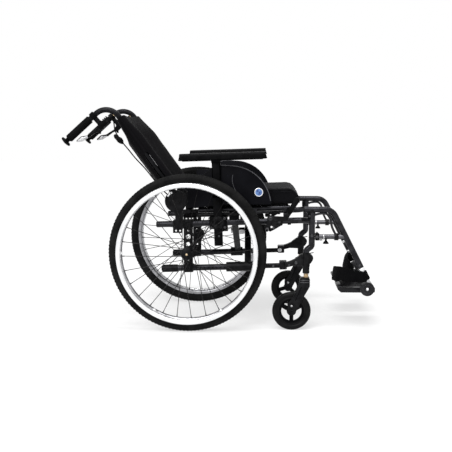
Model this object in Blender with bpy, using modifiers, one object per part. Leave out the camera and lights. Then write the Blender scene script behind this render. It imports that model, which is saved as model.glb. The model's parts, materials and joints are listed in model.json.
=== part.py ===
# Reclining wheelchair with a folding cross brace, a pair of gas springs and swing-away footrests.
# Metres, +Z up. The chair faces +X, +Y is its left side and Z = 0 is the floor.
# Every paired piece is drawn once for the left side, and mirrored in Y for the right side.
# Distances along X are measured from the rear axle while the chair is drawn. The root empty then
# moves the whole chair, so that the middle of its bounding box stands on the world origin.

import math

import bmesh
import bpy
from mathutils import Matrix, Vector

# Clearances
GAP = 0.0003
RUN = 0.0005

# Side planes, as distances from the middle of the chair
TUBE_Y = 0.205
POST_Y = 0.245
WHEEL_Y = 0.280
RAIL_Y = 0.185
CANE_Y = 0.2015

# The seat and its side tubes rise to the front
SEAT_SLOPE = math.radians(1.9)
TUBE_RADIUS = 0.012
UPPER_TUBE_LEVEL = 0.4107
LOWER_TUBE_LEVEL = 0.2349
UPPER_TUBE_REAR = -0.1255
LOWER_TUBE_REAR = -0.106
LOWER_TUBE_FRONT = 0.300
SLEEVE_LENGTH = 0.061
SLEEVE_RADIUS = 0.0145

# Front post, which also carries the footrest hanger
POST_X = 0.478
POST_TOP = 0.460
POST_BEND_LEVEL = 0.330
POST_BEND_RADIUS = 0.014

# Driving wheel
TYRE_RADIUS = 0.305
TYRE_WIDTH = 0.037
RIM_RADIUS = TYRE_RADIUS - 0.037
RIM_DEPTH = 0.0145
RIM_WIDTH = 0.023
WHEEL_STEPS = 32
SPOKES = 28
SPOKE_RADIUS = 0.0011
SPOKE_LACING = math.radians(60)
SPOKE_PHASE = math.radians(3.2)
HUB_LENGTH = 0.068
HUB_FLANGE_RADIUS = 0.024
AXLE_RADIUS = 0.0064
AXLE_CAP_RADIUS = 0.018
HANDRIM_RADIUS = RIM_RADIUS - 0.005
HANDRIM_TUBE_RADIUS = 0.0095
HANDRIM_OFFSET = 0.040
HANDRIM_TABS = 6

# Axle plate
PLATE_THICKNESS = 0.005
AXLE_PLATE_REAR = -0.020
AXLE_PLATE_FRONT = 0.016
PLATE_HOLE_RADIUS = 0.0095
PLATE_HOLE_LEVELS = (0.330, 0.361)
CLAMP_WALL = 0.0035

# Castor
CASTOR_RADIUS = 0.075
CASTOR_WIDTH = 0.026
CASTOR_TRAIL = 0.055
CASTOR_STEM_X = 0.457
CASTOR_STEPS = 16
STEM_RADIUS = 0.006
HOUSING_RADIUS = 0.0134
HOUSING_UPPER_RADIUS = 0.0148
HOUSING_BOTTOM = 0.2235
HOUSING_STEP = 0.251
HOUSING_TOP = 0.304
FORK_TOP = 0.2077
FORK_SHOULDER = 0.1825
FORK_PLATE = 0.004
CASTOR_CORE_RADIUS = CASTOR_RADIUS - 0.026
CASTOR_WINDOW_RADIUS = CASTOR_CORE_RADIUS - 0.0095
CASTOR_SPOKE_WIDTH = 0.0155
CASTOR_ARM_RADIUS = 0.0098
CASTOR_ARM_INSERTED = 0.020

# Folding cross brace
BRACE_LEFT_X = 0.180
BRACE_RIGHT_X = 0.231
BRACE_ARM_WIDTH = 0.026
BRACE_ARM_THICKNESS = 0.018
BRACE_SLEEVE_RADIUS = 0.0165
BRACE_BOLT_RADIUS = 0.006
RAIL_LEVEL = 0.4597
RAIL_RADIUS = 0.011
RAIL_REAR = 0.035
RAIL_FRONT = 0.395
SADDLE_XS = (0.255, 0.379)

# Recline hinge and push handles
PIVOT_X = -0.050
PIVOT_Z = 0.500
HINGE_PLATE_RADIUS = 0.043
HINGE_PLATE_THICKNESS = 0.004
FOOT_PLATE_RADIUS = 0.030
FOOT_PLATE_OFFSET = 0.0057
RECLINE_RANGE = math.radians(30)
LOBE_RADIUS = 0.0605
CANE_RADIUS = 0.011
CANE_FOOT = (-0.0285, 0.493)
CANE_CORNER = (-0.312, 0.882)
CANE_END = (-0.463, 0.7465)
CANE_BEND_RADIUS = 0.060
GRIP_RADIUS = 0.016
GRIP_START = 0.098
GRIP_LENGTH = 0.113
GRIP_FLANGE_RADIUS = 0.0185
HANDLE_COLLAR_AT = 0.071
HANDLE_COLLAR_LENGTH = 0.018
LEVER_PIVOT_AT = 0.098
LEVER_PIVOT_OFFSET = 0.054

# Gas spring beside the upper tube
GAS_Y = 0.2022
GAS_CYLINDER_RADIUS = 0.0080
GAS_CYLINDER_REAR = 0.030
GAS_CYLINDER_FRONT = 0.200
GAS_ROD_RADIUS = 0.0040
GAS_ROD_INSERTED = 0.060

# Armrest
ARMREST_X = 0.115
ARMREST_POST_WIDTH = 0.033
ARMREST_POST_THICKNESS = 0.0135
ARMREST_POST_Y = 0.22775
ARMREST_POST_BELOW = 0.088
ARMREST_POST_ABOVE = 0.2345
ARMREST_PAD_REAR = -0.140
ARMREST_PAD_FRONT = 0.1945
ARMREST_PAD_WIDTH = 0.050
ARMREST_PAD_THICKNESS = 0.024
ARMREST_PAD_Y = 0.237
ARMREST_STEM_LENGTH = 0.125
GUARD_THICKNESS = 0.004
GUARD_Y = 0.2185

# Footrest
HANGER_RADIUS = 0.0115
HANGER_LEVEL = 0.472
HANGER_CORNER_X = 0.5544
HANGER_BEND_RADIUS = 0.045
HANGER_FOOT = (0.669, 0.247)
STRUT_LEVEL = 0.367
FOOT_TUBE_RADIUS = 0.0088
FOOT_TUBE_INSERTED = 0.085
FOOT_DISC_X = 0.694
FOOT_DISC_Z = 0.164
FOOT_DISC_RADIUS = 0.0245
FOOT_PIN_Y = 0.183
FOOT_PIN_Z = 0.1475
FOOT_PIN_RADIUS = 0.0045
FOOTPLATE_INNER = 0.040
FOOTPLATE_OUTER = 0.1895
FOOTPLATE_REAR = 0.586
FOOTPLATE_FRONT = 0.732
FOOTPLATE_BOTTOM = 0.1375
FOOTPLATE_TOP = 0.1575
HEEL_SLEEVE_RADIUS = 0.0138
HEEL_SLEEVE_SPAN = (0.017, 0.052)
HEEL_STRAP_THICKNESS = 0.0040
HEEL_REAR = {"left": 0.642, "right": 0.576}

# Parking brake
BRAKE_REAR = 0.316
BRAKE_FRONT = 0.364
BRAKE_PIVOT = (0.318, 0.436)
BRAKE_PIN_RADIUS = 0.006
BRAKE_SHOE_GAP = 0.0075
BRAKE_SHOE_DISTANCE = TYRE_RADIUS + BRAKE_SHOE_GAP + BRAKE_PIN_RADIUS
BRAKE_SHOE_ANGLE = math.radians(16.9)
BRAKE_HANDLE_TOP = (0.4195, 0.507)

# Seat and back
SLING_THICKNESS = 0.003
CUSHION_REAR = -0.018
CUSHION_FRONT = 0.436
CUSHION_HALF_WIDTH = 0.199
CUSHION_THICKNESS = 0.060
BACK_START = 0.075
BACK_END = 0.411
BACK_HALF_WIDTH = 0.2158
BACK_FRONT = 0.036
BACK_BEHIND = 0.022
BACK_DISH = 0.058
BACK_SAG = 0.030
BACK_SLOT = (0.120, 0.235)

# Control cable of the recline release
CABLE_RADIUS = 0.0024

along_seat = Vector((math.cos(SEAT_SLOPE), 0, math.sin(SEAT_SLOPE)))
above_seat = Vector((-math.sin(SEAT_SLOPE), 0, math.cos(SEAT_SLOPE)))
side = Vector((0, 1, 0))

for startup_object in list(bpy.data.objects):
    bpy.data.objects.remove(startup_object)

parts = bpy.data.collections.new("reclining_wheelchair")
cutters = bpy.data.collections.new("cutters")
bpy.context.scene.collection.children.link(parts)
bpy.context.scene.collection.children.link(cutters)

root = bpy.data.objects.new("chair", None)
parts.objects.link(root)

materials = {}
axes = {}
pivots = {}


def on_slope(x, y, above):
    """The point at x and y on a plane that rises with the seat tubes, whose distance from the origin is above."""
    return Vector((x, y, above / math.cos(SEAT_SLOPE) + x * math.tan(SEAT_SLOPE)))


def make_material(name, colour, roughness, metallic):
    material = bpy.data.materials.new(name)
    material.use_nodes = True
    shader = material.node_tree.nodes["Principled BSDF"]
    shader.inputs["Base Color"].default_value = (*colour, 1)
    shader.inputs["Roughness"].default_value = roughness
    shader.inputs["Metallic"].default_value = metallic
    material.diffuse_color = (*colour, 1)
    materials[name] = material


def add_axis(name, parent, position):
    """An empty on a joint's axis, which carries the pieces that turn or slide with it."""
    empty = bpy.data.objects.new(name + "_axis", None)
    empty.empty_display_size = 0.03
    parts.objects.link(empty)
    position = Vector(position)
    empty.parent = axes.get(parent, root)
    empty.location = position - pivots.get(parent, Vector())
    axes[name] = empty
    pivots[name] = position


def add_piece(name, mesh, axis, material):
    """A finished piece. Its mesh is given in the chair's coordinates."""
    mesh.name = name
    mesh.transform(Matrix.Translation(-pivots[axis]))
    mesh.materials.clear()
    mesh.materials.append(materials[material])
    mesh.shade_smooth()
    mesh.set_sharp_from_angle(angle=math.radians(35))
    piece = bpy.data.objects.new(name, mesh)
    parts.objects.link(piece)
    piece.parent = axes[axis]


def add_pair(name, mesh, axis, material):
    """The left piece as drawn, and its mirror image on the right."""
    mirrored = mesh.copy()
    mirrored.transform(Matrix.Diagonal((1, -1, 1, 1)))
    mirrored.flip_normals()
    add_piece(name + "_left", mesh, axis + "_left", material)
    add_piece(name + "_right", mirrored, axis + "_right", material)


def helper(bm):
    """A closed mesh that is only used to build a piece from."""
    if bm.calc_volume(signed=True) < 0:
        bmesh.ops.reverse_faces(bm, faces=bm.faces)
    mesh = bpy.data.meshes.new("helper")
    bm.to_mesh(mesh)
    bm.free()
    item = bpy.data.objects.new("helper", mesh)
    item.hide_render = True
    item.display_type = "WIRE"
    cutters.objects.link(item)
    return item


def as_mesh_helper(item):
    """A curve, or an object with modifiers, turned into a plain closed mesh."""
    bpy.context.view_layer.update()
    graph = bpy.context.evaluated_depsgraph_get()
    mesh = bpy.data.meshes.new_from_object(item.evaluated_get(graph))
    bm = bmesh.new()
    bm.from_mesh(mesh)
    bm.transform(item.matrix_world)
    bmesh.ops.remove_doubles(bm, verts=bm.verts, dist=0.00001)
    bpy.data.objects.remove(item)
    bpy.data.meshes.remove(mesh)
    return helper(bm)


def fuse(solids, cuts=()):
    """One mesh from overlapping solids, with the cuts taken away afterwards."""
    base = solids[0]
    for operation, others in (("UNION", solids[1:]), ("DIFFERENCE", cuts)):
        for other in others:
            modifier = base.modifiers.new(operation, "BOOLEAN")
            modifier.operation = operation
            modifier.object = other
    bpy.context.view_layer.update()
    graph = bpy.context.evaluated_depsgraph_get()
    mesh = bpy.data.meshes.new_from_object(base.evaluated_get(graph))
    for item in (*solids, *cuts):
        bpy.data.objects.remove(item)
    return mesh


def box(low, high, bevel=0.0, segments=1):
    bm = bmesh.new()
    size = Vector(high) - Vector(low)
    middle = (Vector(high) + Vector(low)) / 2
    bmesh.ops.create_cube(bm, size=1)
    bmesh.ops.transform(bm, matrix=Matrix.Translation(middle) @ Matrix.Diagonal((*size, 1)), verts=bm.verts)
    if bevel:
        bmesh.ops.bevel(bm, geom=bm.edges, offset=bevel, segments=segments, affect="EDGES", profile=0.5)
    return helper(bm)


def seat_box(low, high, bevel=0.0, segments=1):
    """A box that is tilted with the seat, with its limits in X, in Y and square to the seat tubes."""
    half = (Vector(high) - Vector(low)) / 2
    item = box(-half, half, bevel, segments)
    middle = on_slope(*((Vector(high) + Vector(low)) / 2))
    item.data.transform(Matrix.Translation(middle) @ Matrix.Rotation(-SEAT_SLOPE, 4, "Y"))
    return item


def rod(start, end, radius, steps=10, end_radius=None):
    start = Vector(start)
    end = Vector(end)
    direction = end - start
    turn = direction.to_track_quat("Z", "Y").to_matrix().to_4x4()
    bm = bmesh.new()
    bmesh.ops.create_cone(
        bm,
        cap_ends=True,
        segments=steps,
        radius1=radius,
        radius2=radius if end_radius is None else end_radius,
        depth=direction.length,
        matrix=Matrix.Translation((start + end) / 2) @ turn,
    )
    return helper(bm)


def turned(profile, origin, direction, steps=16, closed=False):
    """A profile of (radius, distance along the axis) points, turned about the axis.

    The flats of the turned shape lie at the profile's radii, and one of them faces straight down.
    """
    mesh = bpy.data.meshes.new("profile")
    count = len(profile)
    edges = [(i, i + 1) for i in range(count - 1)]
    if closed:
        edges.append((count - 1, 0))
    widen = 1 / math.cos(math.pi / steps)
    mesh.from_pydata([(radius * widen, 0, along) for radius, along in profile], edges, [])
    item = bpy.data.objects.new("profile", mesh)
    cutters.objects.link(item)
    screw = item.modifiers.new("Turn", "SCREW")
    screw.steps = steps
    screw.render_steps = steps
    screw.use_merge_vertices = True
    screw.merge_threshold = 0.00001
    turn = Vector(direction).to_track_quat("Z", "Y").to_matrix().to_4x4()
    half_step = Matrix.Rotation(math.pi / steps, 4, "Z")
    item.matrix_world = Matrix.Translation(Vector(origin)) @ turn @ half_step
    return as_mesh_helper(item)


def bent_path(corners, radius, steps=4):
    """The corners as points, with each inner corner rounded by an arc."""
    corners = [Vector(corner) for corner in corners]
    points = [corners[0]]
    for before, corner, after in zip(corners, corners[1:], corners[2:]):
        to_before = (before - corner).normalized()
        to_after = (after - corner).normalized()
        half = to_before.angle(to_after) / 2
        centre = corner + (to_before + to_after).normalized() * radius / math.sin(half)
        first = corner + to_before * radius / math.tan(half) - centre
        last = corner + to_after * radius / math.tan(half) - centre
        for step in range(steps + 1):
            points.append(centre + first.slerp(last, step / steps).normalized() * radius)
    points.append(corners[-1])
    return points


def pipe(points, radius, resolution=3):
    """A round tube along the points, with closed ends."""
    curve = bpy.data.curves.new("pipe", "CURVE")
    curve.dimensions = "3D"
    curve.bevel_depth = radius
    curve.bevel_resolution = resolution
    curve.use_fill_caps = True
    spline = curve.splines.new("POLY")
    spline.points.add(len(points) - 1)
    for point, position in zip(spline.points, points):
        point.co = (*position, 1)
    item = bpy.data.objects.new("pipe", curve)
    cutters.objects.link(item)
    return as_mesh_helper(item)


def arc(x, z, radius, start, end, steps):
    """Points on an arc, with its angles in degrees."""
    angles = [math.radians(start + (end - start) * step / steps) for step in range(steps + 1)]
    return [(x + radius * math.cos(angle), z + radius * math.sin(angle)) for angle in angles]


def circle(x, z, radius, steps=12):
    return arc(x, z, radius, 0, 360, steps)[:-1]


def link_outline(first, first_radius, second, second_radius, steps=5):
    """The outline of a link with a round end at each of two points."""
    heading = math.degrees(math.atan2(second[1] - first[1], second[0] - first[0]))
    reach = math.dist(first, second)
    lean = math.degrees(math.acos((first_radius - second_radius) / reach))
    far_end = arc(*second, second_radius, heading - lean, heading + lean, steps)
    near_end = arc(*first, first_radius, heading + lean, heading + 360 - lean, steps)
    return far_end + near_end


def flat_curve(outlines, thickness):
    """Outlines in a plane, filled and extruded. An outline inside another is a hole."""
    curve = bpy.data.curves.new("outline", "CURVE")
    curve.dimensions = "2D"
    curve.fill_mode = "BOTH"
    curve.extrude = thickness / 2
    for outline in outlines:
        spline = curve.splines.new("POLY")
        spline.points.add(len(outline) - 1)
        for point, (across, up) in zip(spline.points, outline):
            point.co = (across, up, 0, 1)
        spline.use_cyclic_u = True
    item = bpy.data.objects.new("outline", curve)
    cutters.objects.link(item)
    return item


def plate(outline, y_low, y_high, holes=()):
    """A flat plate that stands square to Y, with its outline in X and Z."""
    item = flat_curve([outline, *holes], y_high - y_low)
    item.matrix_world = Matrix.Translation((0, (y_low + y_high) / 2, 0)) @ Matrix.Rotation(math.pi / 2, 4, "X")
    return as_mesh_helper(item)


def slab(outline, z_low, z_high):
    """A flat plate that lies square to Z, with its outline in X and Y."""
    item = flat_curve([outline], z_high - z_low)
    item.matrix_world = Matrix.Translation((0, 0, (z_low + z_high) / 2))
    return as_mesh_helper(item)


def padded(columns, rows, shape):
    """A stuffed pad. shape(u, v, top) gives the point at u and v, from -1 to 1, on the face or the back."""
    bm = bmesh.new()
    bmesh.ops.create_cube(bm, size=2)
    bmesh.ops.subdivide_edges(
        bm,
        edges=[edge for edge in bm.edges if abs(edge.verts[0].co.x - edge.verts[1].co.x) > 1],
        cuts=columns - 1,
        use_grid_fill=True,
    )
    bmesh.ops.subdivide_edges(
        bm,
        edges=[edge for edge in bm.edges if abs(edge.verts[0].co.y - edge.verts[1].co.y) > 1],
        cuts=rows - 1,
        use_grid_fill=True,
    )
    bmesh.ops.subdivide_edges(
        bm,
        edges=[edge for edge in bm.edges if abs(edge.verts[0].co.z - edge.verts[1].co.z) > 1],
        cuts=1,
        use_grid_fill=True,
    )
    for vertex in bm.verts:
        vertex.co = shape(*vertex.co)
    item = helper(bm)
    modifier = item.modifiers.new("Soften", "SUBSURF")
    modifier.levels = 1
    modifier.render_levels = 1
    return as_mesh_helper(item)


def make_materials():
    make_material("frame_paint", (0.085, 0.086, 0.09), 0.35, 0.8)
    make_material("black_plastic", (0.02, 0.02, 0.022), 0.5, 0.0)
    make_material("soft_plastic", (0.015, 0.015, 0.016), 0.7, 0.0)
    make_material("black_metal", (0.02, 0.02, 0.021), 0.4, 0.5)
    make_material("bright_metal", (0.75, 0.76, 0.77), 0.22, 1.0)
    make_material("steel", (0.5, 0.5, 0.51), 0.3, 1.0)
    make_material("tyre_rubber", (0.03, 0.03, 0.032), 0.8, 0.0)
    make_material("seat_cloth", (0.018, 0.018, 0.021), 0.85, 0.0)
    make_material("plate_grey", (0.16, 0.16, 0.17), 0.45, 0.0)


def make_axes():
    fold_foot = brace_point(BRACE_LEFT_X, TUBE_Y, LOWER_TUBE_LEVEL)
    fold_foot_right = brace_point(BRACE_RIGHT_X, -TUBE_Y, LOWER_TUBE_LEVEL)
    add_axis("frame_left", None, (0, 0, 0))
    add_axis("brace_left", "frame_left", fold_foot)
    add_axis("brace_right", "brace_left", brace_centre((BRACE_LEFT_X + BRACE_RIGHT_X) / 2))
    add_axis("frame_right", "brace_right", fold_foot_right)
    for name, sign in (("left", 1), ("right", -1)):
        frame = "frame_" + name
        add_axis("wheel_" + name, frame, (0, sign * WHEEL_Y, TYRE_RADIUS))
        add_axis("swivel_" + name, frame, (CASTOR_STEM_X, sign * POST_Y, FORK_TOP))
        castor_x = CASTOR_STEM_X - CASTOR_TRAIL
        add_axis("castor_" + name, "swivel_" + name, (castor_x, sign * POST_Y, CASTOR_RADIUS))
        add_axis("armrest_" + name, frame, armrest_point(0, sign * ARMREST_POST_Y, ARMREST_POST_ABOVE))
        add_axis("back_" + name, frame, (PIVOT_X, sign * CANE_Y, PIVOT_Z))
        lever_x, lever_z = handle_point(LEVER_PIVOT_AT, LEVER_PIVOT_OFFSET)
        add_axis("lever_" + name, "back_" + name, (lever_x, sign * CANE_Y, lever_z))
        add_axis("gas_rod_" + name, frame, (GAS_CYLINDER_REAR, sign * GAS_Y, gas_level(GAS_CYLINDER_REAR)))
        add_axis("hanger_" + name, frame, (POST_X, sign * POST_Y, HANGER_LEVEL))
        add_axis("footrest_" + name, "hanger_" + name, (HANGER_FOOT[0], sign * POST_Y, HANGER_FOOT[1]))
        add_axis("footplate_" + name, "footrest_" + name, (FOOT_DISC_X, sign * FOOT_PIN_Y, FOOT_PIN_Z))
        add_axis("brake_" + name, frame, (BRAKE_PIVOT[0], sign * POST_Y, BRAKE_PIVOT[1]))


def brace_point(x, y, above):
    """A point in the plane that crosses the lower tubes squarely at x."""
    return on_slope(x, y, LOWER_TUBE_LEVEL) + above_seat * (above - LOWER_TUBE_LEVEL)


def brace_centre(x):
    """The middle bolt of the cross brace lies where the two arms meet over the chair's middle."""
    share = TUBE_Y / (TUBE_Y + RAIL_Y)
    return brace_point(x, 0, LOWER_TUBE_LEVEL + share * (RAIL_LEVEL - LOWER_TUBE_LEVEL))


def armrest_point(along, y, above):
    """A point measured from the upper tube where the armrest post crosses it."""
    start = on_slope(ARMREST_X, 0, UPPER_TUBE_LEVEL)
    return start + along_seat * along + side * y + above_seat * above


def cane_direction():
    return Vector((CANE_CORNER[0] - CANE_FOOT[0], 0, CANE_CORNER[1] - CANE_FOOT[1])).normalized()


def cane_point(distance, forward=0.0):
    """A point along the cane from its foot, and square to it towards the sitter."""
    direction = cane_direction()
    ahead = Vector((direction.z, 0, -direction.x))
    point = Vector((CANE_FOOT[0], 0, CANE_FOOT[1])) + direction * distance + ahead * forward
    return point.x, point.z


def handle_point(distance, below=0.0):
    """A point along the push handle from the cane's corner, and square to it away from the grip."""
    direction = Vector((CANE_END[0] - CANE_CORNER[0], 0, CANE_END[1] - CANE_CORNER[1])).normalized()
    down = Vector((-direction.z, 0, direction.x))
    point = Vector((CANE_CORNER[0], 0, CANE_CORNER[1])) + direction * distance + down * below
    return point.x, point.z


def lobe_pin():
    """The pin by which the gas spring turns the back, at rest with the back fully reclined."""
    angle = RECLINE_RANGE / 2
    return PIVOT_X + LOBE_RADIUS * math.sin(angle), PIVOT_Z - LOBE_RADIUS * math.cos(angle)


def gas_level(x):
    """The gas spring's axis runs along the seat, halfway between the lobe pin's highest and lowest places."""
    pin_x, pin_z = lobe_pin()
    stroke = 2 * LOBE_RADIUS * math.sin(RECLINE_RANGE / 2)
    drop = LOBE_RADIUS * (1 - math.cos(RECLINE_RANGE / 2)) / 2 - 0.75 * stroke * math.tan(SEAT_SLOPE)
    return pin_z - drop + (x - pin_x) * math.tan(SEAT_SLOPE)


def hanger_direction():
    corner = Vector((HANGER_CORNER_X, 0, HANGER_LEVEL))
    return (Vector((HANGER_FOOT[0], 0, HANGER_FOOT[1])) - corner).normalized()


def wheel_profile():
    """The tyre's section, as radius and distance from the wheel's middle plane."""
    half = TYRE_WIDTH / 2
    outer = [(TYRE_RADIUS, 0.45 * half), (TYRE_RADIUS - 0.015, half)]
    inner = [(RIM_RADIUS, 0.65 * half), (RIM_RADIUS, -0.65 * half)]
    mirrored = [(radius, -across) for radius, across in reversed(outer)]
    return outer + inner + mirrored


def make_wheels():
    centre = Vector((0, WHEEL_Y, TYRE_RADIUS))
    tyre = turned(wheel_profile(), centre, side, WHEEL_STEPS, closed=True)
    add_pair("tyre", fuse([tyre]), "wheel", "tyre_rubber")

    half_rim = RIM_WIDTH / 2
    rim_outer = RIM_RADIUS - GAP
    rim_inner = RIM_RADIUS - RIM_DEPTH
    rim_profile = [(rim_outer, half_rim), (rim_inner, half_rim), (rim_inner, -half_rim), (rim_outer, -half_rim)]
    rim = turned(rim_profile, centre, side, WHEEL_STEPS, closed=True)

    half_hub = HUB_LENGTH / 2
    flange_out = half_hub - 0.004
    flange_in = half_hub - 0.008
    barrel = 0.014
    bore = AXLE_RADIUS + 0.0006
    outer_half = [(bore, half_hub), (0.012, half_hub), (HUB_FLANGE_RADIUS, flange_out), (HUB_FLANGE_RADIUS, flange_in)]
    outer_half.append((barrel, flange_in - 0.005))
    inner_half = [(radius, -along) for radius, along in reversed(outer_half)]
    hub = turned(outer_half + inner_half, centre, side, 10, closed=True)

    spokes = []
    flange_middle = (flange_out + flange_in) / 2
    for number in range(SPOKES):
        rim_angle = 2 * math.pi * number / SPOKES + SPOKE_PHASE
        flange = 1 if number % 2 else -1
        lean = 1 if (number // 2) % 2 else -1
        hub_angle = rim_angle + lean * SPOKE_LACING
        hub_radius = HUB_FLANGE_RADIUS - 0.003
        rim_radius = rim_inner + 0.003
        across = flange * flange_middle + lean * 0.0013
        start = centre + Vector((hub_radius * math.cos(hub_angle), across, hub_radius * math.sin(hub_angle)))
        end = centre + Vector((rim_radius * math.cos(rim_angle), flange * 0.003, rim_radius * math.sin(rim_angle)))
        spokes.append(rod(start, end, SPOKE_RADIUS, 3))
    add_pair("spoked_wheel", fuse([hub, rim, *spokes]), "wheel", "bright_metal")

    ring_profile = []
    for step in range(5):
        angle = 2 * math.pi * step / 5
        outward = HANDRIM_TUBE_RADIUS * math.cos(angle)
        ring_profile.append((HANDRIM_RADIUS + outward, HANDRIM_TUBE_RADIUS * math.sin(angle)))
    ring = turned(ring_profile, centre + side * HANDRIM_OFFSET, side, WHEEL_STEPS, closed=True)
    tabs = []
    for number in range(HANDRIM_TABS):
        angle = 2 * math.pi * number / HANDRIM_TABS
        spot = centre + Vector((math.cos(angle), 0, math.sin(angle))) * (HANDRIM_RADIUS - 0.002)
        tabs.append(rod(spot + side * (half_rim + GAP), spot + side * HANDRIM_OFFSET, 0.004, 6))
    add_pair("handrim", fuse([ring, *tabs]), "wheel", "bright_metal")

    cap_start = half_hub + GAP
    axle_start = TUBE_Y + 0.009 - WHEEL_Y
    axle_profile = [
        (0, cap_start + 0.0095),
        (0.006, cap_start + 0.0095),
        (0.006, cap_start + 0.0055),
        (AXLE_CAP_RADIUS, cap_start + 0.004),
        (AXLE_CAP_RADIUS, cap_start),
        (AXLE_RADIUS, cap_start),
        (AXLE_RADIUS, axle_start),
        (0, axle_start),
    ]
    add_pair("wheel_axle", fuse([turned(axle_profile, centre, side, 12)]), "frame", "black_metal")


def tube_clamp(rear, front, level, outer_y):
    """A block round a seat tube, and the cutter for its bore."""
    reach = TUBE_RADIUS + RUN + CLAMP_WALL
    block = seat_box((rear, TUBE_Y - reach, level - reach), (front, outer_y, level + reach))
    bore = rod(
        on_slope(rear - 0.01, TUBE_Y, level),
        on_slope(front + 0.01, TUBE_Y, level),
        TUBE_RADIUS + RUN,
        12,
    )
    return block, bore


def make_side_frames():
    upper = UPPER_TUBE_LEVEL
    upper_corners = [
        on_slope(UPPER_TUBE_REAR, TUBE_Y, upper),
        on_slope(POST_X - 0.034, TUBE_Y, upper),
        on_slope(POST_X, POST_Y, upper),
    ]
    upper_tube = pipe(bent_path(upper_corners, 0.020, 2), TUBE_RADIUS)
    post_corners = [
        (POST_X, POST_Y, POST_TOP),
        (POST_X, POST_Y, POST_BEND_LEVEL),
        (CASTOR_STEM_X, POST_Y, HOUSING_TOP + 0.0095),
        (CASTOR_STEM_X, POST_Y, HOUSING_TOP + RUN),
    ]
    post = pipe(bent_path(post_corners, POST_BEND_RADIUS, 2), TUBE_RADIUS)
    post_bore = rod((POST_X, POST_Y, POST_TOP - 0.040), (POST_X, POST_Y, POST_TOP + 0.01), 0.0088, 12)
    rail_seat = rod(
        on_slope(SADDLE_XS[0] - 0.03, RAIL_Y, RAIL_LEVEL),
        on_slope(SADDLE_XS[-1] + 0.03, RAIL_Y, RAIL_LEVEL),
        RAIL_RADIUS + RUN,
        12,
    )
    reach = RAIL_RADIUS + 0.004
    open_top = seat_box(
        (SADDLE_XS[0] - 0.03, RAIL_Y - RAIL_RADIUS - RUN, RAIL_LEVEL),
        (SADDLE_XS[-1] + 0.03, RAIL_Y + RAIL_RADIUS + RUN, RAIL_LEVEL + 0.03),
    )
    saddles = []
    for saddle_x in SADDLE_XS:
        saddles.append(
            seat_box(
                (saddle_x - 0.010, RAIL_Y - reach, upper + 0.004),
                (saddle_x + 0.010, RAIL_Y + reach, RAIL_LEVEL + 0.003),
            )
        )
    lug = seat_box(
        (GAS_CYLINDER_FRONT + 0.0005, GAS_Y - 0.006, upper),
        (GAS_CYLINDER_FRONT + 0.016, GAS_Y + 0.006, upper + 0.039),
    )
    mesh = fuse([upper_tube, post, lug, *saddles], [post_bore, rail_seat, open_top])
    add_pair("upper_frame", mesh, "frame", "frame_paint")

    lower = LOWER_TUBE_LEVEL
    rear = LOWER_TUBE_REAR
    tube = rod(on_slope(rear + 0.004, TUBE_Y, lower), on_slope(LOWER_TUBE_FRONT, TUBE_Y, lower), TUBE_RADIUS)
    sleeve = rod(on_slope(rear, TUBE_Y, lower), on_slope(rear + SLEEVE_LENGTH, TUBE_Y, lower), SLEEVE_RADIUS)
    socket = rod(
        on_slope(LOWER_TUBE_FRONT - CASTOR_ARM_INSERTED - 0.001, TUBE_Y, lower),
        on_slope(LOWER_TUBE_FRONT + 0.010, TUBE_Y, lower),
        CASTOR_ARM_RADIUS + GAP,
    )
    add_pair("lower_tube", fuse([tube, sleeve], [socket]), "frame", "frame_paint")


def make_axle_plates():
    inner = TUBE_Y + TUBE_RADIUS + RUN + GAP
    outer = inner + PLATE_THICKNESS
    upper_block, upper_bore = tube_clamp(AXLE_PLATE_REAR, AXLE_PLATE_FRONT, UPPER_TUBE_LEVEL, inner + 0.001)
    lower_block, lower_bore = tube_clamp(AXLE_PLATE_REAR, AXLE_PLATE_FRONT, LOWER_TUBE_LEVEL, inner + 0.001)
    middle = (AXLE_PLATE_REAR + AXLE_PLATE_FRONT) / 2
    half = (AXLE_PLATE_FRONT - AXLE_PLATE_REAR) / 2
    bottom = LOWER_TUBE_LEVEL - 0.014
    top = UPPER_TUBE_LEVEL + 0.014
    outline = [
        (middle - half, bottom + 0.006),
        (middle - half + 0.006, bottom),
        (middle + half - 0.006, bottom),
        (middle + half, bottom + 0.006),
        (middle + half, top - 0.004),
        (middle + half - 0.004, top),
        (middle - half + 0.004, top),
        (middle - half, top - 0.004),
    ]
    holes = [circle(middle, level, PLATE_HOLE_RADIUS, 8) for level in PLATE_HOLE_LEVELS]
    sheet = plate(outline, inner, outer, holes)
    centre = Vector((0, 0, TYRE_RADIUS))
    boss_end = WHEEL_Y - HUB_LENGTH / 2 - RUN
    boss = rod(centre + side * (inner + 0.001), centre + side * boss_end, 0.016)
    boss_bore = rod(centre + side * (inner - 0.01), centre + side * (boss_end + 0.01), AXLE_RADIUS + 0.0006)
    bolts = []
    for level in (UPPER_TUBE_LEVEL, LOWER_TUBE_LEVEL):
        spot = on_slope(middle, 0, level)
        bolts.append(rod(spot + side * (outer - 0.001), spot + side * (outer + 0.004), 0.0055, 6))
    mesh = fuse([sheet, upper_block, lower_block, boss, *bolts], [upper_bore, lower_bore, boss_bore])
    add_pair("axle_plate", mesh, "frame", "black_metal")


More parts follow.
